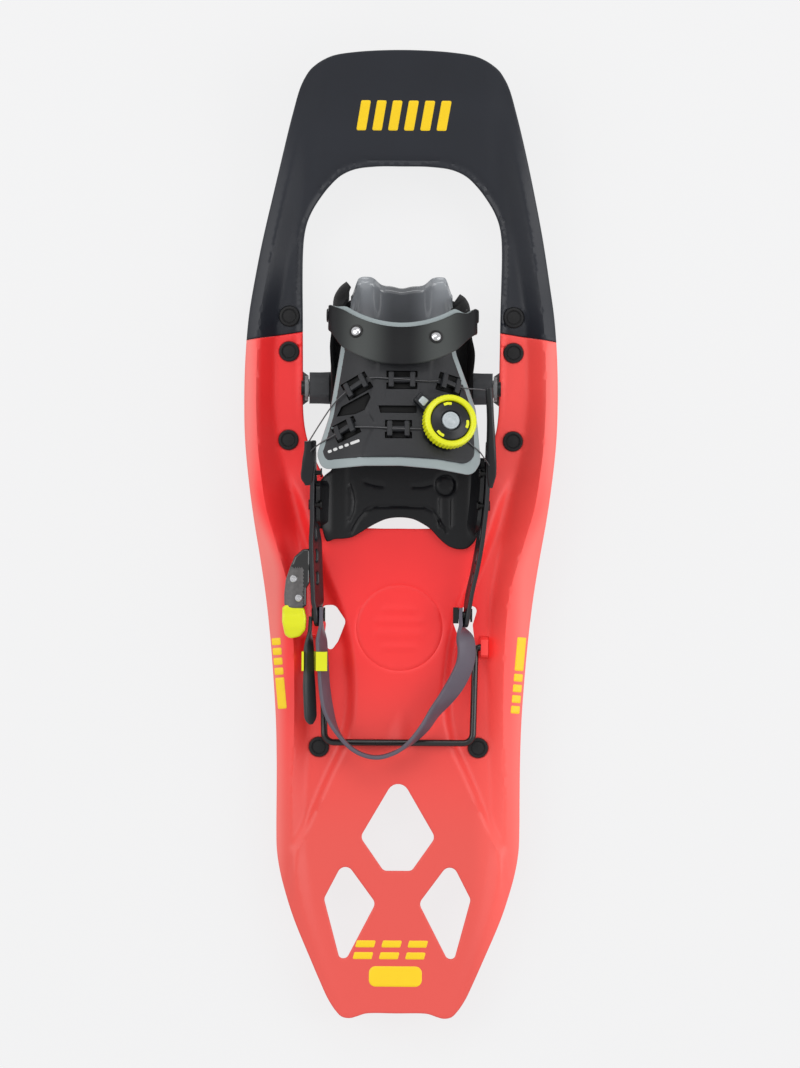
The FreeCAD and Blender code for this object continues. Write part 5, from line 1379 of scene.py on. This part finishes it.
# snap studs on the band; turned profiles are (radius, height)
STUD_CAP = [(0.001, -0.3), (3.1, -0.3), (3.1, 0.5), (2.9, 1.0), (2.3, 1.45), (1.3, 1.75),
            (0.001, 1.85)]
STUD_FLANGE = [(3.2, -0.4), (4.3, -0.4), (4.3, 0.25), (4.0, 0.6), (3.2, 0.5)]
stud_frames = [frame_at(*on_top(band, x, y)) for x, y in ((-28.0, 125.2), (21.4, 122.0))]
build("stud_caps", join(*(place(lathe_data(STUD_CAP, 40), at) for at in stud_frames)),
      "harness", "bright_steel", sharp=60, replaces="toe_strap_studs")
build("stud_flanges", join(*(place(lathe_data(STUD_FLANGE, 40), at) for at in stud_frames)),
      "harness", "black_metal")

# lace bridges: two uprights and a crossbar, each a rounded block
blocks = []
for x, y, spin, length in BRIDGES:
    at = frame_at((x, y, float(instep_z(x, y)) - 0.5), on_top(overlay, x, y)[1], spin)
    # block centre, width, depth, height
    for cx, width, depth, top in ((-length / 2 + 1.9, 3.4, 10.0, 2.5),
                                  (length / 2 - 1.9, 3.4, 10.0, 2.5),
                                  (0.0, length - 5.0, 3.2, 2.0)):
        corners = rectangle(cx - width / 2, cx + width / 2, -depth / 2, depth / 2)
        blocks.append(place(sheet_data([rounded(corners, 0.9, seg=4, step=1.2)], flat(top),
                                       thick=2.6, spacing=1.2, edge=0.6), at))
build("lace_loops", join(*blocks), "harness", "harness_black", replaces="lace_bridges")

# ======================================================== closure dial
dial_frame = frame_at((DIAL_X, DIAL_Y, 92.1106), (0.224951, 0.219186, 0.949397))
spout_turn = turn_z(-41)


def toothed(a, r, z):
    """44 grip notches in the outer wall of the ring."""
    if r > 15.9 and 4.4 < z < 11.4:
        return r - 0.55 * (0.5 + 0.5 * math.cos(44 * a)) ** 3
    return r


# profiles: (radius, height)
DIAL_HOUSING = [(8.2, 0.4), (13.2, 0.0), (13.6, 0.4), (13.6, 2.9), (13.0, 3.6), (8.4, 3.6)]
DIAL_POST = [(0.001, 0.4), (1.6, 0.4), (1.6, 9.7), (1.3, 9.9), (0.001, 9.9)]
DIAL_GRIP = [(13.0, 4.2), (15.9, 3.9), (16.6, 4.6), (16.6, 10.6), (16.2, 11.6), (15.3, 12.15),
             (14.2, 12.2), (13.2, 11.8), (12.7, 11.0), (12.7, 4.6)]
DIAL_CAP = [(5.75, 4.6), (12.6, 4.6), (12.6, 10.2), (12.2, 10.7), (11.2, 11.0), (8.6, 11.3),
            (7.6, 11.9), (6.6, 12.0), (6.1, 11.6), (5.75, 10.8)]
DIAL_HUB = [(1.7, 7.0), (5.5, 7.0), (5.5, 11.4), (5.2, 11.9), (4.3, 12.0), (3.9, 11.6),
            (3.3, 11.4), (2.6, 11.5), (2.2, 11.9), (1.2, 12.1), (0.001, 12.1),
            (0.001, 10.9), (1.7, 10.9)]
# corners of the lace spout and of the insert on it
SPOUT = [(-25.6, -3.4), (-12.0, -4.6), (-12.0, 4.6), (-25.6, 3.4)]
SPOUT_INSERT = [(-23.0, -2.2), (-18.0, -2.6), (-18.0, 2.6), (-23.0, 2.2)]
# the ring's inserts: places in degrees, and corners as radius, angle in radians
INSERT_PLACES = (99, 232, 350)
INSERT = ((9.5, -0.26), (11.7, -0.24), (11.9, 0.0), (11.7, 0.24), (9.5, 0.26), (9.8, 0.0))

spout = sheet_data([rounded(SPOUT, 1.4, step=1.4)], lambda x, y: 4.6 - 0.6 * bell(y / 1.5),
                   thick=4.0, spacing=1.2, edge=0.8)
spout = place(spout, spout_turn)
dial_base = [place(part, dial_frame)
             for part in (lathe_data(DIAL_HOUSING, 72), spout, lathe_data(DIAL_POST, 24))]
build("dial_base", join(*dial_base), "harness", "dial_black", replaces="dial_housing")
spout_insert = sheet_data([rounded(SPOUT_INSERT, 0.9, step=1.4)], flat(4.95), thick=0.9,
                          spacing=1.2, edge=0.4)
build("dial_spout_insert", place(spout_insert, dial_frame @ spout_turn), "harness", "hub_grey")

ring_parts = [place(lathe_data(DIAL_GRIP, 264, toothed), dial_frame)]
for degrees in INSERT_PLACES:
    middle = math.radians(degrees)
    corners = [(r * math.cos(middle + a), r * math.sin(middle + a)) for r, a in INSERT]
    ring_parts.append(place(sheet_data([rounded(corners, 0.5, step=0.9)], flat(11.15),
                                       thick=1.0, spacing=0.9, edge=0.3, rows=2), dial_frame))
build("dial_ring", join(*ring_parts), "dial", "accent_lime", replaces="dial_grip")
build("dial_cap_shell", place(lathe_data(DIAL_CAP, 96), dial_frame), "dial", "dial_black",
      replaces="dial_cap")
build("dial_hub", place(lathe_data(DIAL_HUB, 64), dial_frame), "dial_core", "hub_grey",
      replaces="dial_button")


# ======================================================== lace
def over_panel(*points):
    """Points (x, y, height above the panel) in space."""
    return [(x, y, float(instep_z(x, y)) + lift) for x, y, lift in points]


def lace_data(points):
    radius, seg = 0.42, 8
    section = circle_line(0.0, 0.0, radius, seg)[:-1]
    return sweep_data(smooth_curve(points, False, 1.2), section, up=(0.1, 0.2, 1.0))


# runs from the panel to the guides
for name, points in (
        ("lace_to_right_guide_front",
         over_panel((36.4, 91.4, 1.1), (39.8, 90.6, 0.9))
         + [(44.0, 90.4, 73.0), (49.0, 90.2, 69.6), (54.0, 89.8, 65.6)]),
        ("lace_to_left_guide_front",
         over_panel((-34.0, 87.8, 1.0), (-39.2, 83.0, 0.9))
         + [(-43.8, 77.6, 74.6), (-50.4, 67.8, 69.2), (-57.2, 57.0, 63.6)]),
        ("lace_to_right_guide_rear",
         over_panel((41.0, 58.0, 0.9), (44.8, 54.6, 0.6))
         + [(48.8, 51.4, 79.0), (52.6, 46.6, 70.6), (55.4, 43.0, 63.6)]),
        ("lace_to_left_guide_rear",
         over_panel((-40.2, 61.4, 0.9), (-43.6, 59.4, 0.6))
         + [(-49.0, 56.4, 76.0), (-54.6, 52.4, 67.0), (-57.0, 50.0, 63.2)])):
    run = build(name, lace_data(points), None, "cable_steel", sharp=60)
    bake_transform(run)
# runs across the panel
front_run = over_panel((-19.6, 96.4, 0.8), (-14.6, 96.6, 0.9), (-8.6, 96.2, 1.2),
                       (0.5, 95.8, 2.0), (9.4, 95.0, 1.2), (15.0, 94.6, 0.9),
                       (23.0, 94.8, 1.0))
rear_run = over_panel((-28.2, 65.8, 1.0), (-18.0, 65.8, 0.6), (-9.6, 65.4, 1.1),
                      (-1.4, 65.0, 2.0), (6.4, 64.9, 1.1), (12.8, 64.8, 0.9))
build("lace_cable", join(lace_data(front_run), lace_data(rear_run)), "harness", "cable_steel",
      sharp=60, replaces="lace")

# ======================================================== heel strap
# x, y, z from the right arm round the back to the left arm
STRAP = [
    (38.4, -46.0, 42.5), (38.3, -52, 42.4), (39.2, -60.2, 42.2), (42.0, -69, 41.8),
    (41.6, -80, 41.4), (36.8, -91.6, 41.4), (30.0, -102.0, 42.0), (22.8, -111.0, 42.6),
    (16.0, -121.4, 43.0), (7.7, -130.2, 43.3), (-1.5, -136.6, 43.4), (-13.0, -140.0, 43.4),
    (-23.4, -138.0, 43.4), (-32.2, -132.2, 43.2), (-39.6, -122.4, 43.1),
    (-44.4, -110.0, 43.0), (-46.6, -97, 42.8), (-47.6, -84, 42.6), (-48.8, -66, 42.4),
    (-49.0, -56, 42.4), (-49.0, -46.0, 42.5)]
# the loose end outside the left of the strap, front to back
STRAP_END = [(-55.5, -52.0, 42.5), (-56.0, -60.6, 42.5), (-56.6, -74, 43.0),
             (-56.3, -92, 43.6), (-55.6, -108, 42.6), (-55.0, -119.6, 41.2)]
STRAP_END_LEAN = 48.0


def strap_lean(s):
    right = smooth((s - 0.040) / 0.055) * (1 - 0.55 * smooth((s - 0.2) / 0.14))
    left = smooth((s - 0.62) / 0.12) * (1 - smooth((s - 0.9) / 0.06))
    return 50.0 * right * (1 - smooth((s - 0.33) / 0.14)) - 25.0 * left


def strap_section(s):
    width = 14.0 - 2.4 * smooth((0.05 - s) / 0.05) - 0.8 * smooth((s - 0.45) / 0.1)
    return rounded_section(width, 2.5, 0.8, 3)


def end_lean(s):
    return STRAP_END_LEAN * smooth((s - 0.12) / 0.2)


def end_section(s):
    tip = math.sqrt(max(0.1, 1.0 - max(0.0, (s - 0.9) / 0.1) ** 2))
    width = (7.6 + 2.0 * smooth((s - 0.4) / 0.3)) * tip
    return rounded_section(max(2.6, width), 2.4 - 0.5 * smooth((s - 0.92) / 0.08), 1.0)


build("heel_band", sweep_data(smooth_curve(STRAP, False, 1.1), strap_section, lean=strap_lean),
      "strap", "strap_black", replaces="heel_strap")
end_path = smooth_curve(STRAP_END, False, 1.0)
end_parts = [sweep_data(end_path, end_section, lean=end_lean)]
# a row of ribs along the loose end
for k in range(9):
    i = int(len(end_path) * (0.36 + 0.055 * k))
    lean = math.radians(end_lean(i / (len(end_path) - 1)))
    at = Matrix.Translation(Vector(end_path[i])) @ Matrix.Rotation(-lean, 4, "Y")
    loop = rounded(rectangle(-1.9, -1.1, -0.45, 0.45), 0.2, seg=3, step=0.8)
    end_parts.append(place(sheet_data([loop], flat(3.0), thick=6.0, spacing=1.0, edge=0.2,
                                      rows=2), at))
build("strap_end", join(*end_parts), "strap", "strap_end", sharp=45, replaces="strap_tail")

# ======================================================== buckle and lever
BUCKLE_LOW, BUCKLE_TOP = 35.6, 52.6
# corners (x, y) and corner radii
BUCKLE = [(-56.2, -9.5), (-60.6, -9.8), (-65.8, -14.6), (-68.4, -20.5), (-71.2, -29.0),
          (-72.2, -38.6), (-72.0, -44.6), (-70.0, -46.8), (-60.6, -46.8), (-58.2, -45.0),
          (-58.2, -34.0), (-56.2, -31.0)]
BUCKLE_RADII = [1.5, 3, 4, 6, 8, 8, 2, 2, 1.5, 1, 1.5, 2]
LEVER = [(-59.4, -47.6), (-58.2, -53.0), (-58.8, -60.3), (-62.2, -64.6), (-68.3, -66.0),
         (-71.6, -63.6), (-73.4, -55.0), (-73.2, -46.4), (-70.0, -44.0), (-62.0, -44.0)]
LEVER_RADII = [1.5, 5, 3, 4, 4, 4, 8, 1.5, 1, 1]
SCREWS = ((-66.2, -28.4), (-62.9, -40.4))


def buckle_top(x, y):
    base = BUCKLE_TOP - 0.2 - 1.8 * smooth((-63.0 - x) / 9.0) ** 2
    # two grooves along the cover, and a step up towards the front
    grooves = 0.5 * bell((np.abs(x + 65.6 + (y + 30) * 0.06) - 3.9) / 0.5)
    grooves = grooves * smooth((y + 45) / 2.0) * (1 - smooth((y + 22) / 2.0))
    return base - grooves + 0.9 * smooth((y + 21.6) / 1.2)


def lever_top(x, y):
    fall = 2.6 * smooth((-55.0 - y) / 11.0) ** 1.5
    return BUCKLE_TOP - 1.4 - fall - 0.5 * bell((y + 50.2) / 0.8)


buckle_loop = rounded(BUCKLE[::-1], BUCKLE_RADII[::-1], seg=6, step=1.3)
buckle = build("buckle_shell",
               sheet_data([buckle_loop], buckle_top, spacing=1.3, edge=1.5, rows=5,
                          low=flat(BUCKLE_LOW), bottom_edge=1.0),
               "binding", "buckle_grey", replaces="buckle_body")
buckle.data.materials.append(MATERIALS["cap_gloss"])
for face in buckle.data.polygons:
    centre = face.center / MM
    if centre.y > -21.4 or centre.x > -60.4:
        face.material_index = 1
lever_loop = rounded(LEVER[::-1], LEVER_RADII[::-1], seg=6, step=1.2)
build("lever_tab",
      sheet_data([lever_loop], lever_top, spacing=1.4, edge=1.6, rows=5,
                 low=flat(BUCKLE_LOW + 1.0), bottom_edge=1.2),
      "tab", "accent_lime", sharp=45, replaces="buckle_lever")


def moved(x, y, z=0.0):
    return Matrix.Translation(Vector((x, y, z)))


SCREW_HEAD = [(0.001, -1.5), (2.3, -1.5), (2.3, 0.5), (1.9, 0.95), (1.1, 1.05), (0.9, 0.6),
              (0.001, 0.55)]
AXLE = [(0.001, BUCKLE_LOW - 0.6), (1.5, BUCKLE_LOW - 0.6), (1.5, BUCKLE_TOP - 4.0),
        (0.001, BUCKLE_TOP - 4.0)]
build("screw_heads",
      join(*(place(lathe_data(SCREW_HEAD, 32), moved(x, y, float(buckle_top(x, y))))
             for x, y in SCREWS)),
      "binding", "bright_steel", sharp=35, replaces="buckle_screws")
build("lever_axle", place(lathe_data(AXLE, 24), moved(-65.0, -41.0)), "binding",
      "bright_steel", sharp=35, replaces="buckle_pin")

# ======================================================== rivets
# rivets through the toe band and the wings; their axes lie along X
parts = []
for s, reach in ((-1, 46.9), (1, 48.3)):
    profile = [(0.001, 40.2), (4.2, 40.2), (4.2, 41.0), (2.6, 41.0), (2.6, reach - 1.1),
               (4.3, reach - 1.1), (4.2, reach - 0.5), (3.4, reach - 0.1), (0.001, reach)]
    turn = Matrix.Rotation(s * math.pi / 2, 4, "Y")
    parts.append(place(lathe_data(profile, 32), moved(0, 136.0, 57.0) @ turn))
build("band_rivets", join(*parts), "binding", "black_metal", replaces="harness_pivot_rivets")

# flat deck rivets with a turned ring in the head: radius, height above the deck
RIVET_HEAD = [(2.9, -0.6), (5.9, -0.6), (6.35, -0.3), (6.35, 1.0), (6.1, 1.45), (5.6, 1.6),
              (4.7, 1.55), (4.4, 1.2), (4.1, 1.15), (3.8, 1.5), (0.001, 1.65)]
shank_z = min(c[2] for c in NODES["deck_rivets"].bound_box) / MM + 0.3
profile = [(2.9, shank_z)] + [(r, FLOOR + z) for r, z in RIVET_HEAD] + [(0.001, shank_z)]
build("rivet_heads", join(*(place(lathe_data(profile, 48), moved(x, y)) for x, y in RIVETS)),
      "deck", "rivet_black", sharp=35, replaces="deck_rivets")


# ======================================================== printed marks: plain bars
def print_patch(name, outlines, surface, mat, body):
    """Thin patches just above a surface."""
    parts = [sheet_data([counterclockwise(loop)], lambda x, y: surface(x, y) + 0.14,
                        thick=0.5, spacing=1.6, edge=0.05, rows=1, bottom_edge=0.0)
             for loop in outlines]
    return build(name, join(*parts), body, mat, sharp=60)


def bars_along(start, end, width, low, high, spans):
    """Short bars end to end along a line. spans are fractions of its length, low and
    high the bars' edges as multiples of width."""
    a, b = np.array(start, float), np.array(end, float)
    length = np.linalg.norm(b - a)
    t = (b - a) / length
    normal = np.array([-t[1], t[0]])
    return [rounded([tuple(a + t * length * u + normal * width * g)
                     for u, g in ((u0, low), (u1, low), (u1, high), (u0, high))],
                    0.7, seg=3, step=1.4) for u0, u1 in spans]


nose_bars = [rounded([(x + 1.6, 270.6), (x - 1.6, 252.4), (x + 4.6, 252.4), (x + 7.8, 270.6)],
                     1.0, seg=4, step=1.4) for x in (-28.5, -18.3, -8.1, 2.1, 12.3, 22.5)]
fit_nose(print_patch("nose_bars", nose_bars, deck_top, "print_yellow", "deck"))
tail_bars = [rounded([(x, y), (x + 12.0, y), (x + 13.2, y + 4.4), (x + 1.2, y + 4.4)],
                     0.8, seg=4, step=1.4)
             for x, y in ((-26.5, -260.4), (-10.0, -260.4), (6.5, -260.4),
                          (-28.0, -267.8), (-11.5, -267.8), (5.0, -267.8))]
tail_bars.append(rounded(rectangle(-17.6, 15.8, -285.0, -272.2), 4.2, seg=6, step=1.6))
print_patch("tail_bars", tail_bars, deck_top, "print_yellow", "deck")

SIDE_SPANS = ((0.0, 0.10), (0.14, 0.24), (0.28, 0.38), (0.42, 0.52), (0.56, 1.0))
PANEL_SPANS = ((0.0, 0.12), (0.17, 0.30), (0.35, 0.48), (0.53, 0.66), (0.71, 1.0))
for name, start, end in (("left_bars", (-77.6, -66.0), (-73.2, -110.5)),
                         ("right_bars", (73.2, -112.5), (77.2, -64.5))):
    print_patch(name, bars_along(start, end, 3.1, -0.9, 0.9, SIDE_SPANS), deck_top,
                "print_yellow", "deck")
print_patch("panel_bars",
            bars_along((-45.0, 50.4), (-25.4, 57.6), 1.6, -0.6, 0.5, PANEL_SPANS),
            overlay_top, "print_white", "harness")

# ======================================================== floor, in metres from here on
FLOOR_REACH, FLOOR_DROP = 6.0, -0.001
floor_mat = bpy.data.materials.new("floor")
floor_mat.use_nodes = True
tree = floor_mat.node_tree
tree.nodes.clear()
output = tree.nodes.new("ShaderNodeOutputMaterial")
mix = tree.nodes.new("ShaderNodeMixShader")
glow = tree.nodes.new("ShaderNodeEmission")
matte = tree.nodes.new("ShaderNodeBsdfDiffuse")
glow.inputs["Color"].default_value = (0.891, 0.891, 0.896, 1)
glow.inputs["Strength"].default_value = 1.0
matte.inputs["Color"].default_value = (0.8, 0.8, 0.805, 1)
mix.inputs["Fac"].default_value = 0.12  # share of the matte surface, which takes shadows
tree.links.new(glow.outputs[0], mix.inputs[1])
tree.links.new(matte.outputs[0], mix.inputs[2])
tree.links.new(mix.outputs[0], output.inputs["Surface"])
floor_mesh = bpy.data.meshes.new("floor")
floor_corners = rectangle(-FLOOR_REACH, FLOOR_REACH, -FLOOR_REACH, FLOOR_REACH)
floor_mesh.from_pydata([(x, y, FLOOR_DROP) for x, y in floor_corners], [], [(0, 1, 2, 3)])
floor = bpy.data.objects.new("floor", floor_mesh)
scene.collection.objects.link(floor)
floor_mesh.materials.append(floor_mat)

# ======================================================== world: lights white, looks grey
world = bpy.data.worlds.new("world")
scene.world = world
world.use_nodes = True
nodes, link = world.node_tree.nodes, world.node_tree.links.new
ambient = nodes["Background"]
ambient.inputs["Color"].default_value = (1.0, 1.0, 1.0, 1)
ambient.inputs["Strength"].default_value = 0.73
backdrop = nodes.new("ShaderNodeBackground")
light_path = nodes.new("ShaderNodeLightPath")
mix = nodes.new("ShaderNodeMixShader")
backdrop.inputs["Color"].default_value = (0.896, 0.896, 0.9, 1)
link(light_path.outputs["Is Camera Ray"], mix.inputs["Fac"])
link(ambient.outputs[0], mix.inputs[1])
link(backdrop.outputs[0], mix.inputs[2])
link(mix.outputs[0], nodes["World Output"].inputs["Surface"])


# ======================================================== lights and camera
def area_light(name, location, size, power):
    """Rectangular light aimed at the origin."""
    light = bpy.data.lights.new(name, "AREA")
    light.shape = "RECTANGLE"
    light.size, light.size_y = size
    light.energy = power
    obj = bpy.data.objects.new(name, light)
    scene.collection.objects.link(obj)
    obj.location = location
    obj.rotation_euler = (-Vector(location)).to_track_quat("-Z", "Y").to_euler()


area_light("key_left", location=(-1.5, 0.5, 1.5), size=(1.2, 1.6), power=14)
area_light("key_right", location=(1.6, 0.1, 1.2), size=(0.9, 1.6), power=13)
area_light("top_front", location=(0.0, 1.5, 1.7), size=(1.4, 0.7), power=8)

SENSOR_WIDTH = 36.0
CAMERA_DISTANCE = 3.2  # above the height that is framed
FRAMED_HEIGHT = 0.025
FRAMED_WIDTH = 0.504
camera_data = bpy.data.cameras.new("camera")
camera = bpy.data.objects.new("camera", camera_data)
scene.collection.objects.link(camera)
camera_data.sensor_fit = "HORIZONTAL"
camera_data.sensor_width = SENSOR_WIDTH
camera_data.lens = SENSOR_WIDTH * CAMERA_DISTANCE / FRAMED_WIDTH
camera_data.clip_end = 20.0
camera.location = (0.0, 0.0, CAMERA_DISTANCE + FRAMED_HEIGHT)
camera.rotation_euler = (0, 0, math.radians(0.42))
scene.camera = camera
scene.view_settings.view_transform = "Standard"
